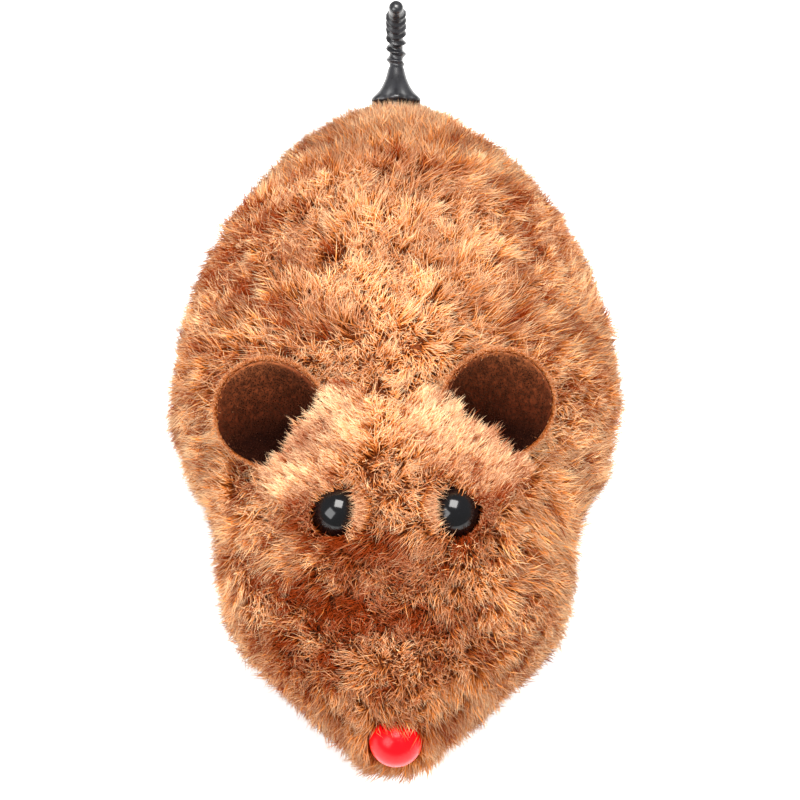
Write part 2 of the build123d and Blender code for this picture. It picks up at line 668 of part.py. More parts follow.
def front_roller():
    half = ROLLER_L / 2
    roller = x_cyl(ROLLER_R, -half, half, ROLLER)
    roller = fillet(roller.edges().filter_by(GeomType.CIRCLE), ROLLER_ROUND)
    roller -= x_cyl(ROLLER_PIN_R + BEARING_GAP, -9, 9, ROLLER)
    for side in (-1, 1):
        roller -= x_ring(RECESS_R1, RECESS_R0, *span(side, half - RECESS_DEPTH, half), ROLLER)
    return roller


# ---------------------------------------------------------------- tail drive
# distances s run along the tail shaft from the lay shaft axis
TAIL_PINION_S0, TAIL_PINION_S1 = CROWN_R0 - 0.1, CROWN_R1 + 0.1
COLLAR_S, COLLAR_T, COLLAR_R = 12.3, 1.0, 1.6
BRACKET_S0, BRACKET_S1, BRACKET_H = 8.6, 12.2, 4.6
BUSH_END = 29.6
FLANGE_T, FLANGE_OUT = 0.6, 0.5


def tail_pinion():
    # a tooth gap faces the crown tooth on the pinion's -X side
    outline = gear_outline(TAIL_PINION_TEETH, addendum=0.32, dedendum=0.66, thin=0.16,
                           turn=gap_facing(0, TAIL_PINION_TEETH))
    return extrude(tail_plane(TAIL_PINION_S0) * (outline - Circle(TAIL_R + PRESS_GAP)),
                   TAIL_PINION_S1 - TAIL_PINION_S0)


def tail_shaft():
    """Shaft with a shoulder collar that keeps it from sliding into the train."""
    shaft = tail_cyl(TAIL_R, TAIL_PINION_S0 - 0.3, BELL_S0 + 3.2)
    shaft += tail_cyl(COLLAR_R, COLLAR_S, COLLAR_S + COLLAR_T)
    return shaft


def tail_bracket():
    """Block between the motor plates with the inner bearing."""
    bracket = extrude(tail_plane(BRACKET_S0) * Rectangle(2 * PLATE_IN - 0.04, BRACKET_H),
                      BRACKET_S1 - BRACKET_S0)
    bracket -= tail_cyl(TAIL_R + BEARING_GAP, 4, 20)
    return bracket


def tail_bush():
    """Flanged bush in the shell's rear hole."""
    bush = (tail_cyl(BUSH_R, BUSH_SEAT, BUSH_END)
            + tail_cyl(BUSH_R + FLANGE_OUT, BUSH_SEAT - FLANGE_T, BUSH_SEAT))
    bush -= tail_cyl(TAIL_R + BEARING_GAP, 20, 35)
    return bush


# ---------------------------------------------------------------- tail
CORE_R, RIB_R, RIB_PITCH, RIB_T = 0.82, 1.15, 1.4, 0.45
FIRST_RIB = 0.62          # first rib past the start of the bend
BEND_R = 4.0              # bend of the tail above the bell
TAIL_UP = radians(94)     # heading of its straight end
TAIL_END_L = 4.4
TIP_R = 1.0
# bell rings: distance from the rim, radius
BELL_RINGS = [(0.0, BELL_R), (0.45, BELL_R - 0.06), (1.3, 2.3), (2.4, 1.68), (3.6, 1.2),
              (4.5, 1.02), (BELL_L, CORE_R + 0.1)]


def tail():
    """Flared bell, then a ribbed rod that bends up to its rounded tip."""
    rod_start = tail_point(BELL_S0 + BELL_L - 0.75)
    bend_start = tail_point(BELL_S0 + BELL_L - 0.05)
    # the bend's centre sits above the rod
    centre_y = bend_start[1] - BEND_R * sin(TAIL_TILT)
    centre_z = bend_start[2] + BEND_R * cos(TAIL_TILT)

    def on_bend(heading):
        return (0, centre_y + BEND_R * sin(heading), centre_z - BEND_R * cos(heading))

    bend_end = on_bend(TAIL_UP)

    def on_end(distance):
        return (0, *polar(distance, TAIL_UP, bend_end[1:]))

    tip = on_end(TAIL_END_L)
    body = loft([tail_plane(BELL_S0 + s) * Circle(radius) for s, radius in BELL_RINGS])
    path = (Line(rod_start, bend_start)
            + ThreePointArc(bend_start, on_bend((TAIL_TILT + TAIL_UP) / 2), bend_end)
            + Line(bend_end, tip))
    body += sweep(heading_plane(rod_start, TAIL_TILT) * Circle(CORE_R), path=path)
    body += Sphere(TIP_R).moved(Location(tip))
    bend_l = BEND_R * (TAIL_UP - TAIL_TILT)
    for i in range(int((bend_l + TAIL_END_L - 0.4) / RIB_PITCH)):
        along = FIRST_RIB + i * RIB_PITCH
        if along < bend_l:
            heading = TAIL_TILT + along / BEND_R
            centre = on_bend(heading)
        else:
            heading = TAIL_UP
            centre = on_end(along - bend_l)
        body += heading_plane(centre, heading).location * Cylinder(RIB_R, RIB_T)
    body -= tail_cyl(TAIL_R + PRESS_GAP, BELL_S0 - 1, BELL_S0 + 3.25)
    return body


# ---------------------------------------------------------------- all parts
parts = {
    "plush_cover": plush_cover(),
    "body_shell": body_shell(),
    "bead_washers": [bead_washer(bead) for bead in BEADS],
    "base_plate": base_plate(),
    "base_screws": [base_screw(x, y) for x, y in POSTS],
    "frame_pillars": [frame_pillar(centre) for centre in PILLARS],
    "mainspring": mainspring(),
    "great_wheel": great_wheel(),
    "ratchet_wheel": ratchet_wheel(),
    "click_pawl": click_pawl(),
    "click_spring": click_spring(),
    "winding_arbor": winding_arbor(),
    "winding_knob": winding_knob(),
    "lay_shaft": x_cyl(LAY_R, -SHAFT_END, SHAFT_END, LAY),
    "lay_pinion": spur(LAY_PINION_TEETH, 4.5, 6.1, LAY,
                       gap_facing(ARBOR_TO_LAY, LAY_PINION_TEETH), LAY_R + PRESS_GAP),
    "lay_gear": spur(LAY_GEAR_TEETH, -6.1, -5.0, LAY, LAY_TO_AXLE, LAY_R + PRESS_GAP),
    "crown_gear": crown_gear(),
    "drive_axle": x_cyl(AXLE_R, -AXLE_END, AXLE_END, AXLE),
    "axle_pinion": spur(AXLE_PINION_TEETH, -6.2, -4.9, AXLE,
                        gap_facing(LAY_TO_AXLE, AXLE_PINION_TEETH), AXLE_R + PRESS_GAP),
    "front_roller": front_roller(),
    "roller_pin": x_cyl(ROLLER_PIN_R, -PIN_END, PIN_END, ROLLER),
    "tail_pinion": tail_pinion(),
    "tail_shaft": tail_shaft(),
    "tail_bracket": tail_bracket(),
    "tail_bush": tail_bush(),
    "tail": tail(),
}
for bead in BEADS:
    parts[bead.name] = bead_solid(bead)
for word, side in SIDES.items():
    parts[f"ear_{word}"] = ear(side)
    parts[f"motor_plate_{word}"] = motor_plate(side)
    parts[f"wheel_{word}"] = wheel(side)
    parts[f"tyre_{word}"] = tyre(side)

os.makedirs("parts", exist_ok=True)
for name, shape in parts.items():
    if isinstance(shape, list):
        shape = Compound(children=[piece.solid() for piece in shape])
    export_step(shape.moved(Location((0, ORIGIN_Y, 0))), f"parts/{name}.step")
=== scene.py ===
# Wind-up plush animal with bead eyes and nose, felt ears and a curled rubber tail.
# It stands on z = 0 with its nose towards -Y and its tail towards +Y; its left side is +X.
# Shapes are worked out in millimetres and turned into metres as each mesh is made.
import json
import math

import bmesh
import bpy
import numpy as np
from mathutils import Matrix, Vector
from mathutils.kdtree import KDTree


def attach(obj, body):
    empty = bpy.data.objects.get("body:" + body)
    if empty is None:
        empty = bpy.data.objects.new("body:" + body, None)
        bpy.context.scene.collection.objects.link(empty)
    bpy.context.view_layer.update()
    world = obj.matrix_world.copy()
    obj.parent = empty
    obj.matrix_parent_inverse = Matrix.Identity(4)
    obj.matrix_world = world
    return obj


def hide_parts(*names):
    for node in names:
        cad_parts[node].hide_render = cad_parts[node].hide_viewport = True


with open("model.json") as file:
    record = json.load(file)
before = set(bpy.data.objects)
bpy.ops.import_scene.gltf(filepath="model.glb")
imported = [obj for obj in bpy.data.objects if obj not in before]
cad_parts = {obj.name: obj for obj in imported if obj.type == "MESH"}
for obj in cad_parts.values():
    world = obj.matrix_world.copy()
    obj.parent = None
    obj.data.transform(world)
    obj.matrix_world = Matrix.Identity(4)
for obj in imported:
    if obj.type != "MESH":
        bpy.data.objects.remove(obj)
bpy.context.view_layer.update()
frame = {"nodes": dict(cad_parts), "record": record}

MM = 0.001
ORIGIN_Y = 1.39                      # Y of the body stations' origin
twist_rng = np.random.default_rng(20)     # turn of every strand about its own length

# Body stations: y from the origin, half width, top z, underside z, z of the widest line
BODY = np.array([
    (-45.25, 0.15, 10.0, 9.6, 9.8),
    (-44.8, 2.2, 12.6, 7.0, 9.8), (-43.9, 4.0, 15.0, 4.9, 10.0),
    (-41.8, 6.0, 17.6, 3.2, 10.4), (-38.5, 9.6, 20.4, 1.6, 11.0),
    (-34.5, 13.8, 23.0, 0.0, 11.7), (-29.5, 18.1, 25.6, -2.6, 12.5),
    (-24.0, 19.9, 28.0, -4.6, 13.3), (-18.5, 20.3, 30.0, -5.6, 14.0),
    (-13.5, 21.6, 31.4, -6.0, 14.8), (-8.5, 24.5, 32.8, -6.0, 15.4),
    (-3.0, 25.9, 34.3, -6.0, 15.8), (4.0, 25.2, 35.6, -6.0, 16.2),
    (11.0, 23.6, 36.0, -6.0, 16.4), (17.5, 21.1, 35.1, -5.6, 16.6),
    (23.5, 17.2, 32.6, -4.2, 17.0), (28.5, 13.2, 29.4, -0.6, 17.4),
    (32.0, 9.6, 26.4, 4.2, 17.6), (34.2, 6.2, 23.4, 9.2, 17.6),
    (35.3, 2.8, 20.4, 14.4, 17.6), (35.7, 0.15, 17.8, 17.4, 17.6)])
BODY_FRONT, BODY_REAR = BODY[0, 0], BODY[-1, 0]
EXP_UP, EXP_DOWN = 2.15, 2.6         # superellipse exponents above and below the widest line


# ------------------------------------------------------------------ numbers and body surface
def unit(v):
    return v / np.maximum(np.linalg.norm(v, axis=-1, keepdims=True), 1e-9)


def direction(v):
    v = np.array(v, float)
    return v / np.linalg.norm(v)


def split_axis(points, origin, axis):
    """Distance along an axis, offset from it as a vector, and that offset's length."""
    rel = points - origin
    along = rel @ axis
    offset = rel - np.outer(along, axis)
    return along, offset, np.linalg.norm(offset, axis=1)


def pchip(xs, ys, x):
    """Monotone cubic interpolation."""
    step = np.diff(xs)
    slope = np.diff(ys) / step
    tan = np.zeros_like(ys)
    tan[0], tan[-1] = slope[0], slope[-1]
    for i in range(1, len(xs) - 1):
        if slope[i - 1] * slope[i] > 0:
            w1, w2 = 2 * step[i] + step[i - 1], step[i] + 2 * step[i - 1]
            tan[i] = (w1 + w2) / (w1 / slope[i - 1] + w2 / slope[i])
    k = np.clip(np.searchsorted(xs, x) - 1, 0, len(step) - 1)
    t = (x - xs[k]) / step[k]
    return ((1 + 2 * t) * (1 - t) ** 2 * ys[k] + t * (1 - t) ** 2 * step[k] * tan[k]
            + t * t * (3 - 2 * t) * ys[k + 1] + t * t * (t - 1) * step[k] * tan[k + 1])


def section(y):
    """Half width, top, underside and widest-line height at stations y."""
    return [pchip(BODY[:, 0], BODY[:, i], y) for i in (1, 2, 3, 4)]


def body_point(y, angle):
    width, top, bottom, waist = section(y)
    c, s = np.cos(angle), np.sin(angle)
    e = np.where(s >= 0, EXP_UP, EXP_DOWN)
    r = (np.abs(c) ** e + np.abs(s) ** e) ** (-1 / e)
    z = waist + np.where(s >= 0, top - waist, waist - bottom) * s * r
    return np.stack([width * c * r, y + ORIGIN_Y, z], -1)


def body_normal(y, angle):
    """Outward unit normals by finite differences."""
    dy, da = 0.02, 0.01
    y0, y1 = np.clip(y - dy, BODY_FRONT, BODY_REAR), np.clip(y + dy, BODY_FRONT, BODY_REAR)
    n = np.cross(body_point(y, angle + da) - body_point(y, angle - da),
                 body_point(y1, angle) - body_point(y0, angle))
    n /= np.maximum(np.linalg.norm(n, axis=-1, keepdims=True), 1e-9)
    core = np.stack([np.zeros_like(y), np.clip(y, -30, 25) + ORIGIN_Y,
                     np.full_like(y, 14.0)], -1)
    n[np.sum(n * (body_point(y, angle) - core), -1) < 0] *= -1
    return n


def top_height(x, y):
    """Height of the body's upper surface."""
    width, top, _, waist = section(y)
    inside = np.maximum(0.02, 1 - np.minimum(np.abs(x) / width, 0.99) ** EXP_UP)
    return waist + (top - waist) * inside ** (1 / EXP_UP)


def cosine_steps(count):
    """Distances along the body, closer together at both ends."""
    t = np.linspace(0, 1, count)
    return (BODY_REAR - BODY_FRONT) * (0.5 - 0.5 * np.cos(t * math.pi))


def wave_field(seed, lengths, waves, dims=3):
    """Smooth seeded noise made of plane waves, as a function of points."""
    gen = np.random.default_rng(seed)
    vectors, phases, amounts = [], [], []
    for length in lengths:
        for _ in range(waves):
            vectors.append(unit(gen.normal(size=3)) * 2 * math.pi
                           / (length * gen.uniform(0.75, 1.3)))
            phases.append(gen.uniform(0, 2 * math.pi))
            amounts.append(gen.normal(size=dims) / math.sqrt(waves))
    vectors, phases, amounts = np.array(vectors), np.array(phases), np.array(amounts)

    def field(points):
        out = np.zeros((len(points), dims))
        for i in range(0, len(points), 20000):
            out[i:i + 20000] = np.cos(points[i:i + 20000] @ vectors.T + phases) @ amounts
        return out
    return field


# ------------------------------------------------------------------ mesh tools
def smooth(mesh):
    mesh.polygons.foreach_set("use_smooth", [True] * len(mesh.polygons))


def link(name, data):
    ob = bpy.data.objects.new(name, data)
    bpy.context.scene.collection.objects.link(ob)
    return ob


def mesh_from(name, points, polys):
    """Smooth-shaded object from points in mm."""
    mesh = bpy.data.meshes.new(name)
    mesh.from_pydata([tuple(v) for v in np.asarray(points) * MM], [],
                     [tuple(int(i) for i in p) for p in polys])
    mesh.validate()
    mesh.update()
    smooth(mesh)
    return link(name, mesh)


def ring_polys(rings, count):
    """Quads between successive closed rings of count points."""
    out = []
    for i in range(rings - 1):
        for j in range(count):
            a, b = i * count + j, i * count + (j + 1) % count
            out.append((a, b, b + count, a + count))
    return out


def tidy(ob, merge=1e-7, drop_loose=False):
    """Merge doubles (distance in metres) and turn the faces outwards."""
    bm = bmesh.new()
    bm.from_mesh(ob.data)
    bmesh.ops.remove_doubles(bm, verts=bm.verts, dist=merge)
    if drop_loose:
        loose = [v for v in bm.verts if not v.link_faces]
        bmesh.ops.delete(bm, geom=loose, context="VERTS")
    bmesh.ops.recalc_face_normals(bm, faces=bm.faces)
    bm.to_mesh(ob.data)
    bm.free()
    smooth(ob.data)


def register(ob, part, replaced=None):
    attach(ob, part)
    if replaced:
        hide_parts(replaced)


# A strand is a closed three-sided prism: points 0-2 at the root, 3-5 mid-way, 6 the tip
STRAND_FACES = ([(k, (k + 1) % 3, 3 + (k + 1) % 3, 3 + k) for k in range(3)]
                + [(3 + k, 3 + (k + 1) % 3, 6) for k in range(3)] + [(2, 1, 0)])
STRAND_STEPS = (0.0, 0.55, 1.0)      # root, middle and tip along the length
TONES = 64                           # tone columns across the UV sheet


def strands_object(name, strands, tone, radius, material):
    """Tapered hairs. strands: (n, 3, 3) root, middle, tip; tone: (n,) 0 to 1."""
    n = len(strands)
    lengthwise = unit(strands[:, 2] - strands[:, 0])
    ref = np.where(np.abs(lengthwise[:, 2:3]) > 0.8,
                   np.array([[1.0, 0, 0]]), np.array([[0, 0, 1.0]]))
    e1 = unit(np.cross(lengthwise, ref))
    e2 = np.cross(lengthwise, e1)
    twist = twist_rng.uniform(0, 2 * math.pi, n)
    radii = np.stack([radius * 0.9, radius], 1)
    points = np.zeros((n, 7, 3))
    for level in range(2):
        for k in range(3):
            a = twist + k * 2 * math.pi / 3
            points[:, level * 3 + k] = strands[:, level] + radii[:, level, None] * (
                np.cos(a)[:, None] * e1 + np.sin(a)[:, None] * e2)
    points[:, 6] = strands[:, 2]

    corners = np.array([i for face in STRAND_FACES for i in face])
    loops = (np.arange(n)[:, None] * 7 + corners[None]).ravel()
    totals = np.tile([len(face) for face in STRAND_FACES], n)
    starts = np.concatenate([[0], np.cumsum(totals)[:-1]])
    mesh = bpy.data.meshes.new(name)
    mesh.vertices.add(n * 7)
    mesh.vertices.foreach_set("co", (points.reshape(-1, 3) * MM).ravel().astype(np.float32))
    mesh.loops.add(len(loops))
    mesh.loops.foreach_set("vertex_index", loops.astype(np.int32))
    mesh.polygons.add(len(totals))
    mesh.polygons.foreach_set("loop_start", starts.astype(np.int32))
    mesh.polygons.foreach_set("loop_total", totals.astype(np.int32))
    mesh.polygons.foreach_set("use_smooth", np.ones(len(totals), bool))
    mesh.update()

    # u: the strand's tone column; v: root to tip
    column = np.clip((tone * TONES).astype(int), 0, TONES - 1)
    across = {4: [0.12, 0.88, 0.88, 0.12], 3: [0.12, 0.88, 0.5]}
    offset = np.array([u for face in STRAND_FACES for u in across[len(face)]])
    u = (column[:, None] + offset[None]) / TONES
    v = np.tile(np.array([0.02] * 3 + [0.55] * 3 + [0.99])[corners], (n, 1))
    v[:, -3:] = np.array([0.02, 0.05, 0.02])
    uv = mesh.uv_layers.new(name="OFBake")
    uv.data.foreach_set("uv", np.stack([u, v], -1).ravel().astype(np.float32))
    mesh.materials.append(material)
    mesh.validate()
    return link(name, mesh)


# ------------------------------------------------------------------ material tools
def set_inputs(node, values):
    for key, value in values.items():
        node.inputs[key].default_value = value


def new_material(name):
    material = bpy.data.materials.new(name)
    material.use_nodes = True
    tree = material.node_tree
    tree.nodes.clear()
    out = tree.nodes.new("ShaderNodeOutputMaterial")
    shader = tree.nodes.new("ShaderNodeBsdfPrincipled")
    tree.links.new(shader.outputs[0], out.inputs[0])
    return material, tree, shader


def strand_uv(tree):
    """The sockets u and v of the OFBake map."""
    uv = tree.nodes.new("ShaderNodeUVMap")
    uv.uv_map = "OFBake"
    split = tree.nodes.new("ShaderNodeSeparateXYZ")
    tree.links.new(uv.outputs[0], split.inputs[0])
    return split.outputs[0], split.outputs[1]


def ramp(tree, stops, factor):
    node = tree.nodes.new("ShaderNodeValToRGB")
    elements = node.color_ramp.elements
    while len(elements) < len(stops):
        elements.new(0.5)
    for element, (position, colour) in zip(elements, stops):
        element.position = position
        element.color = (*colour, 1)
    tree.links.new(factor, node.inputs[0])
    return node.outputs[0]


def mix(tree, a, b, factor, blend="MIX"):
    """Colour mix; each of a, b and factor is a socket or a constant."""
    node = tree.nodes.new("ShaderNodeMix")
    node.data_type = "RGBA"
    node.blend_type = blend
    for socket, value in ((node.inputs[0], factor), (node.inputs[6], a), (node.inputs[7], b)):
        if hasattr(value, "is_linked"):
            tree.links.new(value, socket)
        elif isinstance(value, (int, float)):
            socket.default_value = value
        else:
            socket.default_value = (*value, 1)
    return node.outputs[2]


def map_range(tree, value, source=(0.0, 1.0), target=(0.0, 1.0)):
    node = tree.nodes.new("ShaderNodeMapRange")
    set_inputs(node, dict(zip((1, 2, 3, 4), (*source, *target))))
    tree.links.new(value, node.inputs[0])
    return node.outputs[0]


def noise(tree, vector, scale, detail, roughness=0.5):
    node = tree.nodes.new("ShaderNodeTexNoise")
    set_inputs(node, {"Scale": scale, "Detail": detail, "Roughness": roughness})
    tree.links.new(vector, node.inputs["Vector"])
    return node.outputs[0]


def add_bump(tree, shader, height, strength, distance):
    node = tree.nodes.new("ShaderNodeBump")
    set_inputs(node, {"Strength": strength, "Distance": distance})
    tree.links.new(height, node.inputs["Height"])
    tree.links.new(node.outputs[0], shader.inputs["Normal"])


def fur_material(name, root, middle, tip, specular):
    """Hair; root, middle and tip are each a dark and a light colour, mixed by tone. The darker
    root is painted shade deep in the pile; the pale tip is partly painted light.
    """
    material, tree, shader = new_material(name)
    u, v = strand_uv(tree)
    root, middle, tip = (mix(tree, *pair, u) for pair in (root, middle, tip))
    to_middle = map_range(tree, v, source=(0.22, 0.62))
    to_tip = map_range(tree, v, source=(0.58, 0.97))
    colour = mix(tree, mix(tree, root, middle, to_middle), tip, to_tip)
    tree.links.new(colour, shader.inputs["Base Color"])
    set_inputs(shader, {"Roughness": 0.62, "Specular IOR Level": specular,
                        "Sheen Weight": 0.0, "Sheen Roughness": 0.4,
                        "Sheen Tint": (1.0, 0.82, 0.62, 1)})
    return material


def noise_material(name, dark, light, rough, scale, bump, depth, metallic=0.0, coat=0.0,
                   sheen=0.0, specular=0.5, stretch=(1, 1, 1)):
    """Mottled surface; scale is the grain's, bump and depth its relief (depth in metres)."""
    material, tree, shader = new_material(name)
    coord = tree.nodes.new("ShaderNodeTexCoord")
    mapping = tree.nodes.new("ShaderNodeMapping")
    mapping.inputs["Scale"].default_value = stretch
    tree.links.new(coord.outputs["Object"], mapping.inputs[0])
    vector = mapping.outputs[0]
    mottle = noise(tree, vector, scale, detail=6.0, roughness=0.65)
    tree.links.new(ramp(tree, [(0.30, dark), (0.72, light)], mottle),
                   shader.inputs["Base Color"])
    tree.links.new(map_range(tree, mottle, source=(0.3, 0.7), target=rough),
                   shader.inputs["Roughness"])
    add_bump(tree, shader, noise(tree, vector, scale * 3.1, detail=3.0), bump, depth)
    set_inputs(shader, {"Metallic": metallic, "Coat Weight": coat, "Coat Roughness": 0.04,
                        "Specular IOR Level": specular, "Sheen Weight": sheen})
    return material


def felt_with_painted_shade():
    """Felt, chestnut towards the free edge; painted shade darkens it to near black in the root's
    fold.
    """
    material, tree, shader = new_material("ear_felt_inner")
    u, _ = strand_uv(tree)
    # painted shade: chestnut at the free edge, near black towards the root
    base = ramp(tree, [(0.02, (0.250, 0.080, 0.030)), (0.10, (0.120, 0.030, 0.011)),
                       (0.22, (0.048, 0.0098, 0.0034)), (0.33, (0.008, 0.0016, 0.0007))], u)
    coord = tree.nodes.new("ShaderNodeTexCoord")
    grain = noise(tree, coord.outputs["Object"], scale=1300, detail=6)
    mottle = ramp(tree, [(0.3, (0.55, 0.52, 0.5)), (0.72, (1.4, 1.35, 1.3))], grain)
    tree.links.new(mix(tree, base, mottle, 1.0, "MULTIPLY"), shader.inputs["Base Color"])
    set_inputs(shader, {"Roughness": 0.93, "Specular IOR Level": 0.04})
    add_bump(tree, shader, grain, strength=0.8, distance=0.00012)
    return material


# ------------------------------------------------------------------ materials
# darker roots are painted shade deep in the pile; pale tips are partly painted light
FUR = fur_material(
    "fur_plush", root=((0.12, 0.0120, 0.0012), (0.62, 0.160, 0.030)),
    middle=((0.185, 0.0200, 0.0016), (0.90, 0.325, 0.074)),
    tip=((0.27, 0.0370, 0.0045), (1.00, 0.81, 0.52)), specular=0.02)
# backing cloth, dark orange-brown so the gaps between strands read as shade: partly its own
# colour, partly painted shade
BACKING_CLOTH_AND_SHADE = noise_material(
    "plush_backing", dark=(0.14, 0.030, 0.007), light=(0.27, 0.075, 0.021),
    rough=(0.8, 0.95), scale=900, bump=0.5, depth=0.0002, sheen=0.3, specular=0.2)
EAR_FUZZ = fur_material(
    "fuzz_ear_inner", root=((0.010, 0.0022, 0.0012), (0.05, 0.014, 0.006)),
    middle=((0.014, 0.0032, 0.0016), (0.115, 0.034, 0.015)),
    tip=((0.020, 0.0045, 0.0022), (0.24, 0.075, 0.030)), specular=0.03)
EAR_FELT = felt_with_painted_shade()
EAR_BACK = noise_material(
    "ear_cloth_back", dark=(0.20, 0.055, 0.016), light=(0.42, 0.15, 0.05),
    rough=(0.8, 0.95), scale=1300, bump=0.8, depth=0.00015, sheen=0.1, specular=0.1)
SLOT_MATERIAL = {
    "plush": BACKING_CLOTH_AND_SHADE,
    "ear_felt": EAR_FELT,
    "eye_black": noise_material(
        "eye_bead", dark=(0.001, 0.001, 0.0012), light=(0.003, 0.003, 0.004),
        rough=(0.10, 0.16), scale=260, bump=0.02, depth=0.00002, coat=0.30, specular=0.22),
    "nose_red": noise_material(
        "nose_bead_red", dark=(0.80, 0.0012, 0.004), light=(0.92, 0.0025, 0.007),
        rough=(0.18, 0.27), scale=300, bump=0.03, depth=0.00002, specular=0.20),
    "tail_rubber": noise_material(
        "tail_rubber_black", dark=(0.006, 0.006, 0.007), light=(0.022, 0.022, 0.026),
        rough=(0.24, 0.42), scale=700, bump=0.15, depth=0.00004, coat=0.15),
    "base_plastic": noise_material(
        "base_moulded_black", dark=(0.012, 0.012, 0.013), light=(0.026, 0.026, 0.028),
        rough=(0.40, 0.62), scale=1400, bump=0.35, depth=0.00004),
    "shell_plastic": noise_material(
        "shell_moulded_brown", dark=(0.06, 0.042, 0.03), light=(0.11, 0.08, 0.06),
        rough=(0.40, 0.6), scale=1200, bump=0.3, depth=0.00004),
    "gear_plastic": noise_material(
        "gear_acetal_cream", dark=(0.68, 0.65, 0.55), light=(0.84, 0.81, 0.72),
        rough=(0.35, 0.5), scale=900, bump=0.12, depth=0.00002),
    "steel": noise_material(
        "steel_drawn", dark=(0.42, 0.42, 0.43), light=(0.62, 0.62, 0.62),
        rough=(0.22, 0.42), scale=1600, bump=0.1, depth=0.00002, metallic=1.0,
        stretch=(0.1, 1, 1)),
    "spring_steel": noise_material(
        "spring_blued", dark=(0.10, 0.11, 0.16), light=(0.26, 0.27, 0.33),
        rough=(0.2, 0.38), scale=1500, bump=0.1, depth=0.00002, metallic=1.0),
    "brass_parts": noise_material(
        "brass_stamped", dark=(0.60, 0.40, 0.14), light=(0.80, 0.60, 0.27),
        rough=(0.22, 0.42), scale=1200, bump=0.12, depth=0.00002, metallic=1.0),
    "tyre_rubber": noise_material(
        "tyre_rubber_grey", dark=(0.014, 0.014, 0.014), light=(0.040, 0.039, 0.037),
        rough=(0.65, 0.9), scale=1300, bump=0.5, depth=0.00006),
    "knob_plastic": noise_material(
        "knob_moulded_black", dark=(0.008, 0.008, 0.008), light=(0.018, 0.018, 0.019),
        rough=(0.28, 0.46), scale=1000, bump=0.2, depth=0.00003)}


def dress_cad():
    """Give every CAD piece its slot's material; the tail bush is moulded like the base."""
    nodes = frame["nodes"]
    if not isinstance(nodes, dict):      # only a table by node name can be looked up
        return
    slots = {s["node"]: s["material_slot"] for s in frame["record"]["subparts"]}
    for name, slot in slots.items():
        found = nodes[name]
        for ob in found if isinstance(found, (list, tuple)) else [found]:
            if ob is None:
                continue
            if not ob.material_slots:
                ob.data.materials.append(SLOT_MATERIAL[slot])
            for material_slot in ob.material_slots:
                material_slot.material = SLOT_MATERIAL[
                    "base_plastic" if name == "tail_bush" else slot]


dress_cad()

# ------------------------------------------------------------------ feature places
EYE_R, EYE_SINK = 2.9, 1.35          # bead radius, depth of its centre under the cover
EYES = {}                            # centre and outward axis
for eye_name, x in (("left", 6.8), ("right", -6.8)):
    y = -21.8
    eye_axis = direction((0.239 * (1 if x > 0 else -1), -0.36, 0.90))
    z = top_height(np.array([x]), np.array([y]))[0]
    EYES[eye_name] = (np.array([x, y + ORIGIN_Y, z]) - EYE_SINK * eye_axis, eye_axis)
NOSE = np.array([0.0, -43.0 + ORIGIN_Y, 12.7])
NOSE_AXIS = direction((0, -0.94, 0.34))
NOSE_R = 3.0
EARS = {"left": np.array([11.2, -11.3 + ORIGIN_Y, 33.3]),
        "right": np.array([-13.8, -11.8 + ORIGIN_Y, 32.2])}
EAR_R, EAR_BOWL = 6.2, 9.0           # outer radius, radius of the dish's sphere
EAR_RIM = EAR_R * 0.965              # where the rolled rim starts
EAR_T, EAR_CLEAR = 0.85, 1.1         # thickness, room kept free behind the hollow face
ARBOR = np.array([0.0, -4.0 + ORIGIN_Y, 11.8])     # winding axis, along X
TILT = math.radians(20)              # tail axis above level
LAY = np.array([0.0, 5.9372 + ORIGIN_Y, 13.5962])  # point on the tail axis
TAIL_DIR = np.array([0.0, math.cos(TILT), math.sin(TILT)])
TAIL_UP = np.array([0.0, -math.sin(TILT), math.cos(TILT)])
BELL_START, BELL_L = 30.7, 5.0       # bell rim's distance from LAY, bell length
TAIL_EXIT = LAY + TAIL_DIR * BELL_START
VIEW = np.array([0.0, -0.469, 0.883])     # towards the viewer


def side_of(centre):
    return 1 if centre[0] > 0 else -1


def ear_axes(centre):
    """Facing direction, direction to the sewn root, and the one across both."""
    side = side_of(centre)
    facing = direction((0.20 * side, -0.66, 0.72))
    up = np.array([0, 0, 1.0]) - facing * facing[2]
    up /= np.linalg.norm(up)
    root = direction(up * -0.86 + np.cross(up, facing) * (-0.5 * side))
    return facing, root, np.cross(facing, root)


def ear_depth(r):
    """Height of the ear's hollow face at radius r, along its facing direction."""
    return (EAR_BOWL - 1.6) - np.sqrt(np.maximum(EAR_BOWL ** 2 - r ** 2, 1.0))


# ------------------------------------------------------------------ plush backing
BACKING_INSET = 1.55                 # below the pile's nominal surface
BACKING_FLOOR = 3.1                  # open underneath below this height
KNOB_CUT, KNOB_EDGE = 5.0, 4.95      # faces cut within, rim drawn to this radius
TAIL_HOLE = 2.8


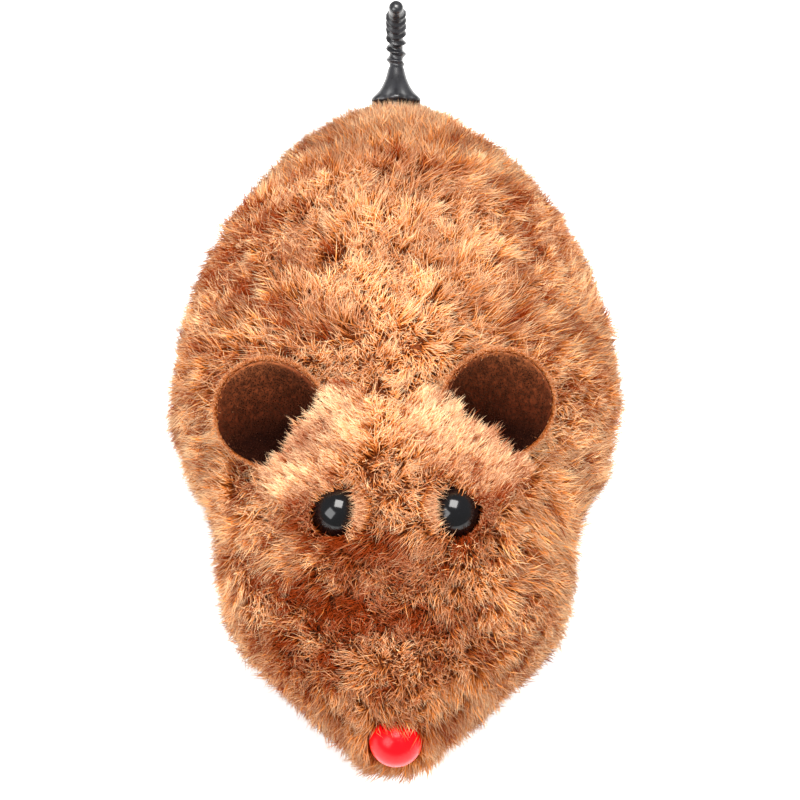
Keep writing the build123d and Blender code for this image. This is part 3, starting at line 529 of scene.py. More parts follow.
def build_backing():
    stations, around = 150, 132
    ys = BODY_FRONT + cosine_steps(stations) * 0.999 + 0.02
    angles = np.linspace(0, 2 * math.pi, around, endpoint=False)
    Y, A = (grid.ravel() for grid in np.meshgrid(ys, angles, indexing="ij"))
    points = body_point(Y, A) - body_normal(Y, A) * BACKING_INSET
    points[:, 1] = np.clip(points[:, 1], BODY_FRONT + ORIGIN_Y + BACKING_INSET,
                           BODY_REAR + ORIGIN_Y - BACKING_INSET)
    polys, cut = [], set()
    for face in ring_polys(stations, around):
        c = points[list(face)].mean(0)
        if c[2] < BACKING_FLOOR:
            continue
        if c[0] > 10 and np.hypot(c[1] - ARBOR[1], c[2] - ARBOR[2]) < KNOB_CUT:
            cut.update(face)
            continue
        rel = c - TAIL_EXIT
        if c[1] > 20 and np.linalg.norm(rel - TAIL_DIR * (rel @ TAIL_DIR)) < TAIL_HOLE:
            continue
        polys.append(face)
    # round the rim of the knob's opening
    for v in cut & {v for face in polys for v in face}:
        d = points[v, 1:] - ARBOR[1:]
        points[v, 1:] = ARBOR[1:] + d / np.linalg.norm(d) * KNOB_EDGE
    ob = mesh_from("plush_backing", points, polys)
    tidy(ob, merge=2e-6, drop_loose=True)
    solid = ob.modifiers.new("thickness", "SOLIDIFY")
    solid.thickness = 0.0007
    solid.offset = -1
    solid.use_even_offset = False
    bpy.context.view_layer.objects.active = ob
    depsgraph = bpy.context.evaluated_depsgraph_get()
    mesh = bpy.data.meshes.new_from_object(ob.evaluated_get(depsgraph))
    ob.modifiers.clear()
    ob.data = mesh
    mesh.materials.append(BACKING_CLOTH_AND_SHADE)
    smooth(mesh)
    return ob


register(build_backing(), "chassis", replaced="plush_cover")

# ------------------------------------------------------------------ fur tools
FUR_COUNT = 186000
comb_field = wave_field(5, [26, 15], waves=8)
swirl_field = wave_field(9, [8.0], waves=9)
tone_field = wave_field(31, [9, 4.5], waves=9, dims=1)
fine_field = wave_field(47, [2.4], waves=12, dims=1)

# Light and dark patches of the pile, partly its own tone, partly painted light on the back and
# brow and painted shade on the muzzle and flanks: x, y, half sizes along x and y, tone added
PATCHES_TONE_LIGHT_AND_SHADE = [
    (1, 2, 8, 13, 0.18), (0, -8, 10, 4, 0.12), (0, 24, 12, 8, -0.11), (-1, -15, 7, 6, 0.27),
    (-6, 11, 7, 4, 0.10), (13, 16, 6, 5, -0.13), (8, 26, 5, 4, -0.10), (-17, 10, 7, 8, -0.32),
    (-15, -4, 8, 4, -0.24), (16, -2, 7, 4, -0.12), (16, 11, 6, 7, -0.18),
    (-19, -16, 5, 8, 0.04), (19, -16, 5, 8, 0.12), (-12, -20, 5, 4, 0.10),
    (13, -22, 5, 5, 0.02), (0, -24, 6, 5, -0.20), (-8, -31, 9, 8, -0.46),
    (8, -32, 8, 8, -0.15), (0, -39, 6, 4, -0.24), (16, -31, 5, 6, 0.02)]


def tone_with_painted_light_and_shade(points):
    """How light the pile is over the body: partly its own tone, partly painted light and painted
    shade.
    """
    x, y = points[:, 0], points[:, 1] - ORIGIN_Y
    tone = np.full(len(points), 0.49)
    for cx, cy, sx, sy, amount in PATCHES_TONE_LIGHT_AND_SHADE:
        tone += amount * np.exp(-((x - cx) / sx) ** 2 - ((y - cy) / sy) ** 2)
    return tone


def sample_surface(n, gen):
    """Random stations and angles spread evenly by area over the cover."""
    stations, around = 260, 200
    ys = BODY_FRONT + cosine_steps(stations + 1)
    angles = np.linspace(0, 2 * math.pi, around + 1)
    Y, A = np.meshgrid(ys, angles, indexing="ij")
    grid = body_point(Y.ravel(), A.ravel()).reshape(stations + 1, around + 1, 3)
    corner = grid[:-1, :-1]
    area = np.linalg.norm(np.cross(grid[1:, :-1] - corner, grid[:-1, 1:] - corner), axis=-1)
    area[corner[..., 2] < 2.0] = 0
    pick = gen.choice(area.size, size=n, p=(area / area.sum()).ravel())
    i, j = pick // around, pick % around
    y = ys[i] + gen.random(n) * (ys[i + 1] - ys[i])
    return y, angles[j] + gen.random(n) * (angles[j + 1] - angles[j])


def pick_tufts(gen, points, count):
    """Choose tuft centres among the points; also each point's nearest tuft."""
    heads = gen.choice(len(points), count, replace=False)
    tree = KDTree(count)
    for i, head in enumerate(heads):
        tree.insert(points[head], i)
    tree.balance()
    return heads, np.array([tree.find(p)[1] for p in points])


def strand_radii(gen, n, mean=0.050, spread=0.009, low=0.03, high=0.07):
    return np.clip(gen.normal(mean, spread, n), low, high)


def kept(keep, strands, tone, radius, base):
    return strands[keep], np.clip(tone[keep], 0, 0.999), radius[keep], base[keep]


def push_aside(strands, weight, outward, axis, shares, push, sink=0.0):
    """Move middles and tips outwards, and down the axis, by their shares."""
    for q, share in zip((1, 2), shares):
        strands[:, q] += (outward * (weight * share * push)[:, None]
                          - axis * (weight * share * sink)[:, None])


# ------------------------------------------------------------------ fur round the features
# These change strands, tone and keep in place; base holds the points on the cover.
def part_at_eye(strands, base, tone, keep, centre, axis):
    """Part the pile round an eye, darken it there, and keep it off the bead. The darkening is
    partly darker pile and partly painted shade of the socket, strongest on the outer side.
    """
    along, offset, dist = split_axis(base, centre, axis)
    nearby = (dist < 6.5) & (along > -3) & (along < 6)
    keep &= ~((dist < 2.35) & nearby)
    outward = unit(offset)
    weight = (np.clip(1 - (dist - 2.0) / 2.6, 0, 1) * nearby
              * (1.0 - 0.85 * np.abs(outward[:, 0]) ** 2))
    push_aside(strands, weight, outward, axis, shares=(0.45, 1.2), push=0.45, sink=0.15)
    outer = 0.5 + 0.5 * outward[:, 0] * np.sign(centre[0])
    # painted shade round the bead, partly darker pile, strongest on the outer side
    tone -= (0.20 + 0.34 * outer) * np.exp(-((dist - 2.2) / 1.8) ** 2) * nearby
    for q in (1, 2):
        keep &= np.linalg.norm(strands[:, q] - centre, axis=1) > EYE_R + 0.05
        along, offset, dist = split_axis(strands[:, q], centre, axis)
        wide = np.abs(offset[:, 0])
        # an upright oval in front of the bead stays clear
        oval = (wide / 2.05) ** 2 + (dist ** 2 - wide ** 2) / 2.75 ** 2
        keep &= ~((along > 0.4) & (oval < 1) & (along < 5))


def part_at_nose(strands, base, tone, keep):
    _, offset, dist = split_axis(base, NOSE, NOSE_AXIS)
    nearby = np.linalg.norm(base - NOSE, axis=1) < 8
    outward = unit(offset)
    weight = (np.clip(1 - (dist - 2.2) / 2.5, 0, 1) * nearby
              * np.where(outward[:, 2] > 0.45, 0.15, 1.0))
    push_aside(strands, weight, outward, NOSE_AXIS, shares=(0.4, 1.1), push=0.8)
    tone -= 0.38 * np.exp(-((dist - 2.4) / 1.3) ** 2) * nearby * (base[:, 2] > NOSE[2])
    for q in (0, 1, 2):
        rel = strands[:, q] - NOSE
        keep &= np.linalg.norm(rel, axis=1) > NOSE_R + 0.05
        along, _, dist = split_axis(strands[:, q], NOSE, NOSE_AXIS)
        keep &= ~((along > 0.3) & (dist < 2.5) & (along < 6) & (rel[:, 2] < 1.5))


def clear_ear(strands, keep, centre):
    """No strand passes through a dish; more room is kept away from its root."""
    facing, root, across = ear_axes(centre)
    first, middle, tip = (strands[:, q] for q in range(3))
    for point in (middle, 0.5 * (middle + first), tip, 0.5 * (tip + middle)):
        rel = point - centre
        r = np.hypot(rel @ root, rel @ across)
        over = rel @ facing - ear_depth(np.minimum(r, 8))
        limit = np.where((rel @ root) > 2.4, 0.05, 2.6)
        keep &= ~((r < EAR_R + 0.15) & (over > -EAR_CLEAR - 0.15) & (over < limit))


def part_at_knob(strands, base, keep):
    """Opening for the winding knob on the left side."""
    dy, dz = base[:, 1] - ARBOR[1], base[:, 2] - ARBOR[2]
    dist = np.hypot(dy, dz)
    left = base[:, 0] > 10
    keep &= ~(left & (dist < 4.75))
    weight = np.clip(1 - (dist - 4.7) / 2.0, 0, 1) * left
    outward = unit(np.stack([np.zeros(len(base)), dy, dz], 1))
    push_aside(strands, weight, outward, np.array([1.0, 0, 0]), shares=(0.4, 1.0), push=0.45)


def part_at_tail(strands, base, keep):
    _, offset, dist = split_axis(base, TAIL_EXIT, TAIL_DIR)
    rear = base[:, 1] > 20
    keep &= ~(rear & (dist < 2.35))
    weight = np.clip(1 - (dist - 2.6) / 2.4, 0, 1) * rear
    push_aside(strands, weight, unit(offset), TAIL_DIR, shares=(0.5, 1.3), push=0.55,
               sink=0.15)
    for q in (1, 2):
        along, _, dist = split_axis(strands[:, q], TAIL_EXIT, TAIL_DIR)
        keep &= ~((along > -0.15) & (dist < 3.5) & (strands[:, q, 1] > 20))


# ------------------------------------------------------------------ body fur
def make_fur(n):
    gen = np.random.default_rng(77)
    y, angle = sample_surface(n, gen)
    base, normal = body_point(y, angle), body_normal(y, angle)
    root = base - normal * 1.75
    comb = comb_field(base) * 0.50 + swirl_field(base) * 0.30
    x, y = base[:, 0], base[:, 1] - ORIGIN_Y
    # overall lie: backwards on the body, out and down at the flanks, forwards on the muzzle
    lie = np.stack([0.45 * np.sign(x) * np.minimum(np.abs(x) / 14, 1),
                    np.where(y > -16, 0.35, -0.25), np.full(n, -0.25)], 1)
    lie += comb
    lie -= normal * np.sum(lie * normal, 1, keepdims=True)
    # tufts share a lean of their own; single hairs stray from it
    tufts = n // 17
    heads, near = pick_tufts(gen, base, tufts)
    stray = gen.normal(size=(tufts, 3))[near] * 0.42 + gen.normal(size=(n, 3)) * 0.46
    lie += stray - normal * np.sum(stray * normal, 1, keepdims=True)
    lean = np.minimum(np.linalg.norm(lie, axis=1, keepdims=True), 1.35)
    tangent = unit(lie)
    start = unit(normal + tangent * lean * 0.34)
    length = np.clip(gen.normal(2.75, 0.45, n), 1.5, 3.9)[:, None]
    length *= np.where(y < -30, 0.88, 1.0)[:, None]
    length *= gen.normal(1.0, 0.13, tufts)[near][:, None]
    guard = gen.random(n) < 0.05         # long, light guard hairs
    length[guard] *= 1.28
    bend = tangent * lean * 0.36 - normal * 0.10
    strands = np.stack([root + length * (s * start + s * s * bend) for s in STRAND_STEPS], 1)
    # the crimp of the fibre, and tips drawn together around the tuft's middle
    strands[:, 1] += gen.normal(size=(n, 3)) * 0.18
    to_head = strands[heads][near] - strands
    pull = (gen.uniform(0.10, 0.62, tufts)[near] * gen.uniform(0.4, 1.15, n))[:, None]
    for q, share in ((1, 0.35), (2, 1.0)):
        strands[:, q] += to_head[:, q] * pull * share * 0.9
    # tone: region (partly painted light and shade), patch, tuft and strand
    tuft_tone = gen.normal(0, 0.15, tufts)[near]
    # the combed flanks show their streaks more than the standing pile down the middle
    flank = 0.66 + 0.90 * np.clip((np.abs(x) - 5) / 11, 0, 1)
    tone = (tone_with_painted_light_and_shade(base) + 0.16 * tone_field(base)[:, 0] + 0.22 * guard
            + flank * (0.13 * fine_field(base)[:, 0] + tuft_tone + gen.normal(0, 0.11, n)))
    keep = base[:, 2] > 2.9
    for centre, axis in EYES.values():
        part_at_eye(strands, base, tone, keep, centre, axis)
    part_at_nose(strands, base, tone, keep)
    for centre in EARS.values():
        clear_ear(strands, keep, centre)
    part_at_knob(strands, base, keep)
    part_at_tail(strands, base, keep)
    strands[:, :, 2] = np.maximum(strands[:, :, 2], 0.7)
    # fewer strands are drawn thicker
    radius = strand_radii(gen, n, high=0.075) * 1.0
    return kept(keep, strands, tone, radius, base)


def cover_point(points):
    """Slide points along the viewing line onto the cover's upper surface."""
    points = points.copy()
    for _ in range(14):
        gap = points[:, 2] - top_height(points[:, 0], points[:, 1] - ORIGIN_Y)
        points -= np.outer(gap * 0.7, VIEW)
    return points


# The sewn edge's direction across X, down the view, and its distance from the ear's centre
COLLAR_EDGE = {"left": (0.62, 0.79, 3.1), "right": (0.80, 0.60, 3.5)}
COLLAR_DEPTH = 6.4


def ear_collar(name, seed):
    """A brow of head pile that rises towards the ear and hides the lower inner part
    of the dish."""
    gen = np.random.default_rng(seed)
    centre = EARS[name]
    facing = ear_axes(centre)[0]
    share_x, share_v, edge = COLLAR_EDGE[name]
    # inward points from the ear to the forehead, square to the viewing line
    x_axis = np.array([1.0, 0, 0])
    inward = direction(-side_of(centre) * share_x * x_axis
                       - share_v * np.cross(VIEW, x_axis))
    along = np.cross(VIEW, inward)
    n = 12500
    t = gen.uniform(0, 1, n) ** 1.2 * COLLAR_DEPTH
    v = gen.uniform(-1.35, 1.35, n) * EAR_R
    line = edge + 0.40 * np.sin(v * 1.1 + seed) + 0.25 * np.sin(v * 2.9 + 2 * seed)
    spot = centre + np.outer(line + t, inward) + np.outer(v, along)
    # where the dish stands above this line, tips come up in front of it
    front = (spot - centre) @ facing / (VIEW @ facing)
    dish = spot - np.outer(front, VIEW)
    base = cover_point(spot)
    above = np.maximum((dish - base) @ VIEW, 0.0)
    rise = (np.clip((COLLAR_DEPTH - t) / 3.6, 0, 1) ** 0.8
            * np.exp(-(np.abs(v) / (1.16 * EAR_R)) ** 8))
    height = 0.75 + (np.minimum(above, 5.6) + 0.95) * rise
    height *= 1 + gen.normal(0, 0.10, n)
    tip = (base + np.outer(height, VIEW) - np.outer(1.1 * rise * gen.random(n), inward)
           + gen.normal(size=(n, 3)) * 0.58)
    tufts = n // 14
    heads, near = pick_tufts(gen, base, tufts)
    tip += (tip[heads][near] - tip) * gen.uniform(0.2, 0.6, n)[:, None]
    root = (base - VIEW * 1.0 + np.outer(gen.uniform(1.1, 2.6, n), inward)
            + gen.normal(size=(n, 3)) * 0.25)
    middle = 0.45 * root + 0.55 * tip + VIEW * 0.25 + gen.normal(size=(n, 3)) * 0.20
    keep = rise > gen.uniform(0.05, 0.45, n)
    tone = (tone_with_painted_light_and_shade(base) - 0.09 + 0.16 * tone_field(base)[:, 0]
            + 0.16 * fine_field(base)[:, 0] + gen.normal(0, 0.17, tufts)[near]
            + gen.normal(0, 0.15, n))
    return kept(keep, np.stack([root, middle, tip], 1), tone,
                strand_radii(gen, n, high=0.075), base)


def eye_lap(centre, axis, seed):
    """Pile that laps over the inner and outer sides of an eye."""
    gen = np.random.default_rng(seed)
    e1 = direction(np.array([1.0, 0, 0]) - axis * axis[0])
    e2 = np.cross(axis, e1)
    n = 1100
    inner = gen.random(n) < 0.5
    angle = (np.where(inner == (side_of(centre) > 0), math.pi, 0.0)
             + gen.normal(0, 0.48, n))
    dist = gen.uniform(2.55, 4.2, n)
    outward = np.cos(angle)[:, None] * e1 + np.sin(angle)[:, None] * e2
    base = centre + outward * dist[:, None] + axis * 0.75
    root = base - axis * 1.3
    reach = (np.where(inner, gen.uniform(1.95, 2.9, n), gen.uniform(2.15, 3.1, n))
             + (dist - 2.55) * 0.75)
    up = gen.uniform(1.5, 2.5, n)
    tip = (centre + outward * reach[:, None] + axis * (1.0 + up)[:, None]
           + gen.normal(size=(n, 3)) * 0.26)
    middle = (centre + outward * (np.maximum(dist, 3.0) + 0.1)[:, None]
              + axis * (0.6 + 0.62 * up)[:, None])
    keep = np.ones(n, bool)
    for q in (0.0, 0.5, 0.75, 1.0):
        point = middle + (tip - middle) * q
        keep &= np.linalg.norm(point - centre, axis=1) > EYE_R + 0.06
    # lighter inner side and darker outer side: partly the pile's own tone, partly painted shade
    # at the eye's outer side
    tone = np.where(inner, 0.40, 0.14) + gen.normal(0, 0.16, n)
    return kept(keep, np.stack([root, middle, tip], 1), tone,
                strand_radii(gen, n, mean=0.046, spread=0.008), base)


def tail_cover_steps(offsets):
    """Distance along the tail axis at which a line at each offset enters the cover."""
    ys = np.linspace(20, BODY_REAR - 0.05, 240)
    widths, tops, _, waists = section(ys)
    hits = np.full(len(offsets), -4.0)
    for i, offset in enumerate(offsets):
        for step in np.arange(0.0, -9.0, -0.25):
            p = TAIL_EXIT + offset + TAIL_DIR * step
            y = p[1] - ORIGIN_Y
            if y >= BODY_REAR:
                continue
            width, top, waist = (np.interp(y, ys, v) for v in (widths, tops, waists))
            if p[2] < waist or ((abs(p[0]) / width) ** EXP_UP
                                + ((p[2] - waist) / (top - waist)) ** EXP_UP <= 1):
                hits[i] = step
                break
    return hits


def tail_collar():
    """Pile that stands up round the tail's bell and hides the bush."""
    gen = np.random.default_rng(91)
    n = 3200
    angle = gen.uniform(0, 2 * math.pi, n)
    dist = gen.uniform(2.6, 4.6, n)
    outward = (np.cos(angle)[:, None] * np.array([1.0, 0, 0])
               + np.sin(angle)[:, None] * TAIL_UP)
    offsets = outward * dist[:, None]
    hits = tail_cover_steps(offsets)
    base = TAIL_EXIT + offsets + TAIL_DIR * hits[:, None]
    root = base - TAIL_DIR * 1.3
    inner = np.clip((3.9 - dist) / 1.2, 0, 1)
    height = 0.75 + inner * np.clip(-hits - 0.95, 0, 1.9) * gen.uniform(0.7, 1.0, n)
    splay = np.where(dist < 3.4, (3.55 - dist) * 0.9 + 0.1, 0.3)
    tip = (base + TAIL_DIR * height[:, None]
           + outward * (splay + gen.uniform(0, 0.5, n))[:, None]
           + gen.normal(size=(n, 3)) * 0.15)
    middle = (0.5 * (root + tip) - outward * 0.12 * splay[:, None]
              + gen.normal(size=(n, 3)) * 0.1)
    keep = np.ones(n, bool)
    for point in (0.5 * (middle + tip), tip):
        along, _, off = split_axis(point, TAIL_EXIT, TAIL_DIR)
        keep &= ~((along > -0.25) & (off < 3.4))
    tone = 0.42 + gen.normal(0, 0.17, n)
    return kept(keep, np.stack([root, middle, tip], 1), tone, strand_radii(gen, n), base)


# Fur pieces from nose to tail, with equal numbers of strands
ZONES = ["snout", "muzzle", "cheeks", "brow", "neck", "shoulders", "withers", "back", "loin",
         "haunches", "rump", "hind"]


def build_fur():
    piles = [make_fur(FUR_COUNT)]
    piles += [ear_collar(name, 60 + i) for i, name in enumerate(EARS)]
    piles += [eye_lap(*eye, 80 + i) for i, eye in enumerate(EYES.values())]
    piles.append(tail_collar())
    strands, tone, radius, base = (np.concatenate(column) for column in zip(*piles))
    order = np.argsort(base[:, 1])
    for zone, part in zip(ZONES, np.array_split(order, len(ZONES))):
        ob = strands_object("fur_" + zone, strands[part], tone[part], radius[part], FUR)
        register(ob, "chassis")


build_fur()

# ------------------------------------------------------------------ ears
EAR_SEEDS = {"left": (3, 11), "right": (4, 12)}     # fibres, ripple of the cloth
EAR_RIPPLE = 0.16


def ear_point(centre, r, angle, lift):
    """Points of the dish, pinched narrower and deeper towards the root."""
    facing, root, across = ear_axes(centre)
    pinch = np.maximum(0.0, np.cos(angle)) ** 2 * (r / EAR_R) ** 1.5
    v = r * np.sin(angle) * (1 - 0.12 * pinch)
    z = ear_depth(r) + lift - 0.7 * pinch
    return centre + np.outer(r * np.cos(angle), root) + np.outer(v, across) + np.outer(z, facing)


def build_dish(name, centre, ripple):
    facing, root, across = ear_axes(centre)
    rings, around = 26, 72
    # profile of radius and lift: hollow face, rolled rim, back
    face = [(EAR_RIM * i / (rings - 1), 0.0) for i in range(rings)]
    turns = [q / 7 * math.pi for q in range(1, 7)]
    rim = [(EAR_RIM + 0.22 * math.sin(t), -EAR_T * (1 - math.cos(t)) / 2) for t in turns]
    profile = np.array(face + rim + [(r, -EAR_T) for r, _ in reversed(face)])
    angles = np.tile(2 * math.pi * np.arange(around) / around, len(profile))
    r, lift = np.repeat(profile, around, axis=0).T
    points = ear_point(centre, np.maximum(r, 0.02), angles, lift)
    points += facing * (ripple(points) * EAR_RIPPLE)
    ob = mesh_from(name, points, ring_polys(len(profile), around))
    mesh = ob.data
    mesh.materials.append(EAR_FELT)
    mesh.materials.append(EAR_BACK)
    for p in mesh.polygons:
        p.material_index = 0 if p.index // around < rings + 3 else 1
    tidy(ob)
    # flat layout: felt in the left half of the sheet, back cloth in the right
    uv = mesh.uv_layers.new(name="OFBake")
    for p in mesh.polygons:
        for i in p.loop_indices:
            rel = np.array(mesh.vertices[mesh.loops[i].vertex_index].co) / MM - centre
            u, v = (rel @ axis / (2.2 * EAR_R) + 0.5 for axis in (root, across))
            uv.data[i].uv = (u * 0.5 + (0.5 if p.material_index else 0.0), v)
    return ob


def straight_strands(base, heading, length):
    return np.stack([base + heading * length * s for s in STRAND_STEPS], 1)


def build_felt_fibres(name, centre, ripple, gen):
    """Short fibres on the hollow face, darker towards the root with painted shade."""
    facing = ear_axes(centre)[0]
    n = 5200
    r = EAR_RIM * np.sqrt(gen.random(n))
    angle = gen.uniform(0, 2 * math.pi, n)
    base = ear_point(centre, r, angle, 0.0)
    base += facing * (ripple(base) * EAR_RIPPLE)
    heading = unit(facing * 0.7 + gen.normal(size=(n, 3)) * 0.55)
    length = gen.uniform(0.30, 0.62, n)[:, None]
    strands = straight_strands(base, heading, length) - facing * 0.06
    # darker towards the root is painted shade; the lighter rim is the tan fuzz
    tone = (0.17 - 0.36 * (np.cos(angle) * r / EAR_R) + 0.30 * (r / EAR_R) ** 6
            + gen.normal(0, 0.07, n))
    radius = strand_radii(gen, n, mean=0.035, spread=0.006, low=0.02, high=0.06)
    return strands_object(name, strands, np.clip(tone, 0, 0.999), radius, EAR_FUZZ)


def build_ear_pile(name, centre, gen):
    """Back and rim pile, the same plush as the body but short."""
    facing, root, across = ear_axes(centre)
    n = 8200
    edge = gen.random(n) < 0.62
    r = np.where(edge, EAR_RIM + 0.25, EAR_R * 0.96 * np.sqrt(gen.random(n)))
    angle = gen.uniform(0, 2 * math.pi, n)
    base = ear_point(centre, r, angle, np.where(edge, -0.45, -EAR_T))
    radial = np.cos(angle)[:, None] * root + np.sin(angle)[:, None] * across
    heading = np.where(edge[:, None],
                       radial * 0.7 + facing * gen.uniform(-0.6, 0.9, n)[:, None],
                       -facing * 0.8 + radial * 0.5)
    heading = unit(heading + gen.normal(size=(n, 3)) * 0.45)
    length = np.where(edge, gen.uniform(0.30, 0.95, n), gen.uniform(0.6, 1.1, n))[:, None]
    tone = np.clip(np.where(edge, 0.34, 0.45) + gen.normal(0, 0.14, n), 0, 0.999)
    return strands_object(name, straight_strands(base, heading, length), tone,
                          np.full(n, 0.032), FUR)


for ear_name, ear_centre in EARS.items():
    fibre_seed, ripple_seed = EAR_SEEDS[ear_name]
    ear_gen = np.random.default_rng(fibre_seed)
    ear_ripple = wave_field(ripple_seed, [9, 5], waves=6, dims=1)
    register(build_dish("ear_dish_" + ear_name, ear_centre, ear_ripple),
             "chassis", replaced="ear_" + ear_name)
    register(build_felt_fibres("ear_felt_fibres_" + ear_name, ear_centre, ear_ripple, ear_gen),
             "chassis")
    register(build_ear_pile("ear_back_pile_" + ear_name, ear_centre, ear_gen),
             "chassis")


# ------------------------------------------------------------------ beads
def build_bead(name, centre, axis, r, material, flat=0.94):
    """Turned bead: domed face, a fine parting ring, flat back and stem."""
    e1 = direction(np.cross(axis, [1, 0.1, 0]))
    e2 = np.cross(axis, e1)
    profile = []                         # radius, height along the axis
    for i in range(40):
        t = math.pi * 0.5 * i / 39
        profile.append((r * math.sin(t), r * math.cos(t) * flat))
    profile += [(r, -0.02 * r), (r * 0.985, -0.045 * r), (r * 0.992, -0.07 * r)]
    for i in range(1, 12):
        t = math.pi / 2 + math.radians(26) * i / 11
        profile.append((r * math.sin(t) * 0.99, r * math.cos(t)))
    back = -0.45 * r
    stem_end = back - 3.4
    profile += [(r * 0.8, back), (0.85, back), (0.8, -0.5 * r), (0.8, stem_end),
                (0.0, stem_end)]
    around = 96
    points = []
    for q, z in profile:
        for j in range(around):
            a = 2 * math.pi * j / around
            points.append(centre + axis * z
                          + (e1 * math.cos(a) + e2 * math.sin(a)) * max(q, 0.0005))
    ob = mesh_from(name, points, ring_polys(len(profile), around))
    ob.data.materials.append(material)
    tidy(ob)
    return ob


for eye_name, (eye_centre, eye_axis) in EYES.items():
    register(build_bead("eye_dome_" + eye_name, eye_centre, eye_axis, EYE_R,
                        SLOT_MATERIAL["eye_black"]),
             "chassis", replaced="eye_" + eye_name)
register(build_bead("nose_dome", NOSE, NOSE_AXIS, NOSE_R, SLOT_MATERIAL["nose_red"], flat=0.98),
         "chassis", replaced="nose_bead")

# ------------------------------------------------------------------ tail
BEND_R, END_ANGLE, END_L = 4.0, math.radians(94), 4.4     # bend, then the straight end
CORE_R, THREAD_H, THREAD_PITCH = 0.84, 0.44, 1.4
# distance from the bell's rim, radius
BELL_INSIDE = [(1.6, 0.92), (1.5, 1.25), (1.0, 1.65), (0.5, 2.1), (0.12, 2.42)]
BELL_OUTSIDE = [
    (0.0, 2.75), (0.02, 3.05), (0.22, 3.26), (0.5, 3.22), (0.8, 2.96), (1.15, 2.62),
    (1.5, 2.32), (1.9, 2.02), (2.3, 1.78), (2.7, 1.58), (3.1, 1.40), (3.5, 1.26),
    (3.9, 1.14), (4.3, 1.04), (4.6, 0.96)]


def tail_path(s):
    """Centre point and heading at distance s from the bell's rim."""
    straight = BELL_L - 0.05
    if s < straight:
        return LAY + TAIL_DIR * (BELL_START + s), TILT
    s -= straight
    bend_start = LAY + TAIL_DIR * (BELL_START + straight)
    bend_l = BEND_R * (END_ANGLE - TILT)
    heading = TILT + s / BEND_R if s < bend_l else END_ANGLE
    point = np.array([0, bend_start[1] + BEND_R * (math.sin(heading) - math.sin(TILT)),
                      bend_start[2] + BEND_R * (math.cos(TILT) - math.cos(heading))])
    beyond = max(s - bend_l, 0.0)
    return point + np.array([0, math.cos(heading), math.sin(heading)]) * beyond, heading


def build_tail():
    """Fluted bell, then a rod with a raised thread that bends up to a round tip."""
    around = 72
    angles = 2 * math.pi * np.arange(around) / around
    rings = []

    def ring(s, radius):
        centre, heading = tail_path(s)
        sideways = np.array([1.0, 0, 0])
        up = np.array([0, -math.sin(heading), math.cos(heading)])
        spokes = np.outer(np.cos(angles), sideways) + np.outer(np.sin(angles), up)
        rings.append(centre + spokes * np.broadcast_to(radius, around)[:, None])

    for s, r in BELL_INSIDE:
        ring(s, r)
    flutes = (0.5 - 0.5 * np.cos(6 * angles + math.pi)) ** 1.6
    for s, r in BELL_OUTSIDE:
        ring(s, r * (1 - 0.17 * max(0.0, 1 - s / 3.4) * flutes))
    tip_start = BELL_L + BEND_R * (END_ANGLE - TILT) + END_L
    s = 4.75
    while s < tip_start:
        fade = min(1.0, (s - 4.6) / 0.9) * min(1.0, max(0.0, (tip_start - 0.7 - s) / 0.6))
        phase = ((s / THREAD_PITCH) - angles / (2 * math.pi)) % 1.0
        ridge = np.maximum(0.0, 1 - np.abs(phase - 0.5) * 2 / 0.62)
        ring(s, CORE_R + THREAD_H * fade * ridge ** 0.8)
        s += 0.11
    for q in range(13):
        t = q / 12 * math.pi / 2
        ring(tip_start + 0.95 * math.sin(t),
             max(0.002, (CORE_R + 0.12 * math.sin(2 * t)) * math.cos(t) ** 0.9))
    ob = mesh_from("tail_rubber", np.concatenate(rings), ring_polys(len(rings), around))
    ob.data.materials.append(SLOT_MATERIAL["tail_rubber"])
    tidy(ob)
    return ob


register(build_tail(), "tail_spin_body", replaced="tail")


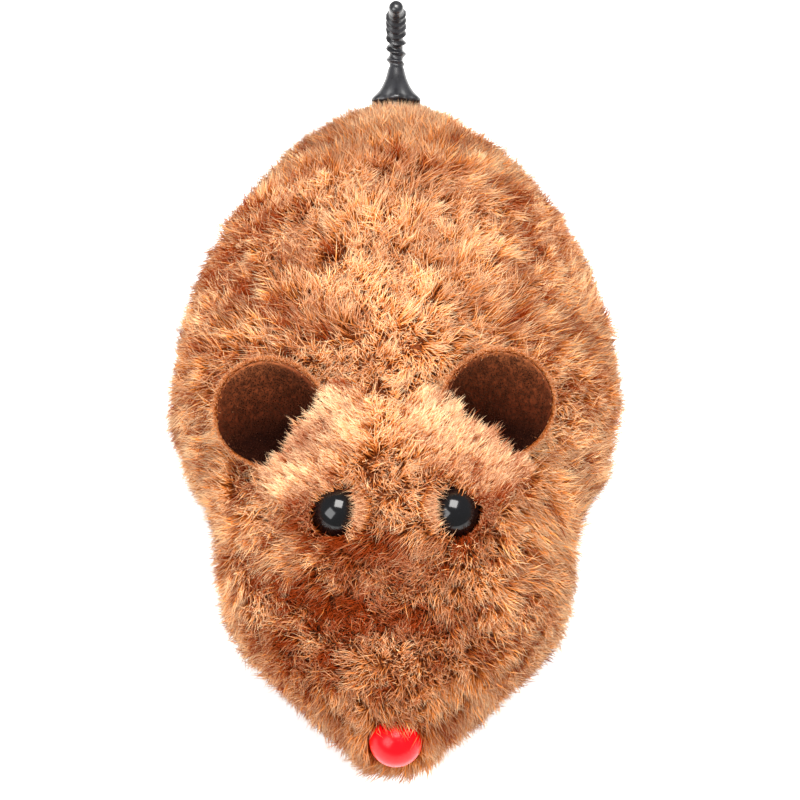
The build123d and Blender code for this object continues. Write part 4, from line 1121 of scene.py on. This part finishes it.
# ------------------------------------------------------------------ stage
def build_floor():
    bm = bmesh.new()
    bmesh.ops.create_grid(bm, x_segments=8, y_segments=8, size=1.6)
    mesh = bpy.data.meshes.new("floor")
    bm.to_mesh(mesh)
    bm.free()
    material, _, shader = new_material("floor_paper")
    set_inputs(shader, {"Base Color": (0.93, 0.93, 0.93, 1), "Roughness": 0.9,
                        "Emission Color": (1, 1, 1, 1), "Emission Strength": 0.30})
    mesh.materials.append(material)
    floor = link("floor", mesh)
    floor.location = (0, 0, -0.0002)


def build_world():
    """Soft white surround that the camera sees brighter than it lights."""
    world = bpy.data.worlds.new("studio")
    world.use_nodes = True
    tree = world.node_tree
    background = tree.nodes["Background"]
    background.inputs[0].default_value = (1.0, 0.995, 0.985, 1)
    background.inputs[1].default_value = 0.50
    path = tree.nodes.new("ShaderNodeLightPath")
    strength = map_range(tree, path.outputs["Is Camera Ray"], target=(0.50, 1.0))
    tree.links.new(strength, background.inputs[1])
    bpy.context.scene.world = world


def aim(ob, target):
    ob.rotation_euler = (Vector(target) - ob.location).to_track_quat("-Z", "Y").to_euler()


def softbox(name, location, size, power, colour=(1, 1, 1)):
    light = bpy.data.lights.new(name, "AREA")
    light.energy = power
    light.color = colour
    light.size = size
    ob = link(name, light)
    ob.location = location
    aim(ob, (0, -0.01, 0.02))
    return ob


def build_camera():
    elevation = math.radians(62)
    distance, view_width, sensor = 350, 94.4, 36     # mm; view width at the target
    data = bpy.data.cameras.new("camera")
    ob = link("camera", data)
    target = Vector((0.00047, (-1.27 + ORIGIN_Y) * MM, 0.01572))
    ob.location = target + Vector((0, -math.cos(elevation), math.sin(elevation))) * 0.350
    aim(ob, target)
    data.sensor_width = sensor
    data.lens = distance / view_width * sensor
    data.clip_start = 0.01
    bpy.context.scene.camera = ob


build_floor()
build_world()
softbox("top_softbox", (0.02, 0.08, 0.66), size=0.36, power=7.2, colour=(1.0, 0.98, 0.95))
softbox("left_softbox", (-0.30, -0.25, 0.38), size=0.32, power=2.3)
fill = softbox("right_softbox", (0.22, -0.20, 0.46), size=0.20, power=1.9)
fill.visible_glossy = False
build_camera()
bpy.context.scene.view_settings.view_transform = "Standard"
bpy.context.scene.view_settings.look = "None"
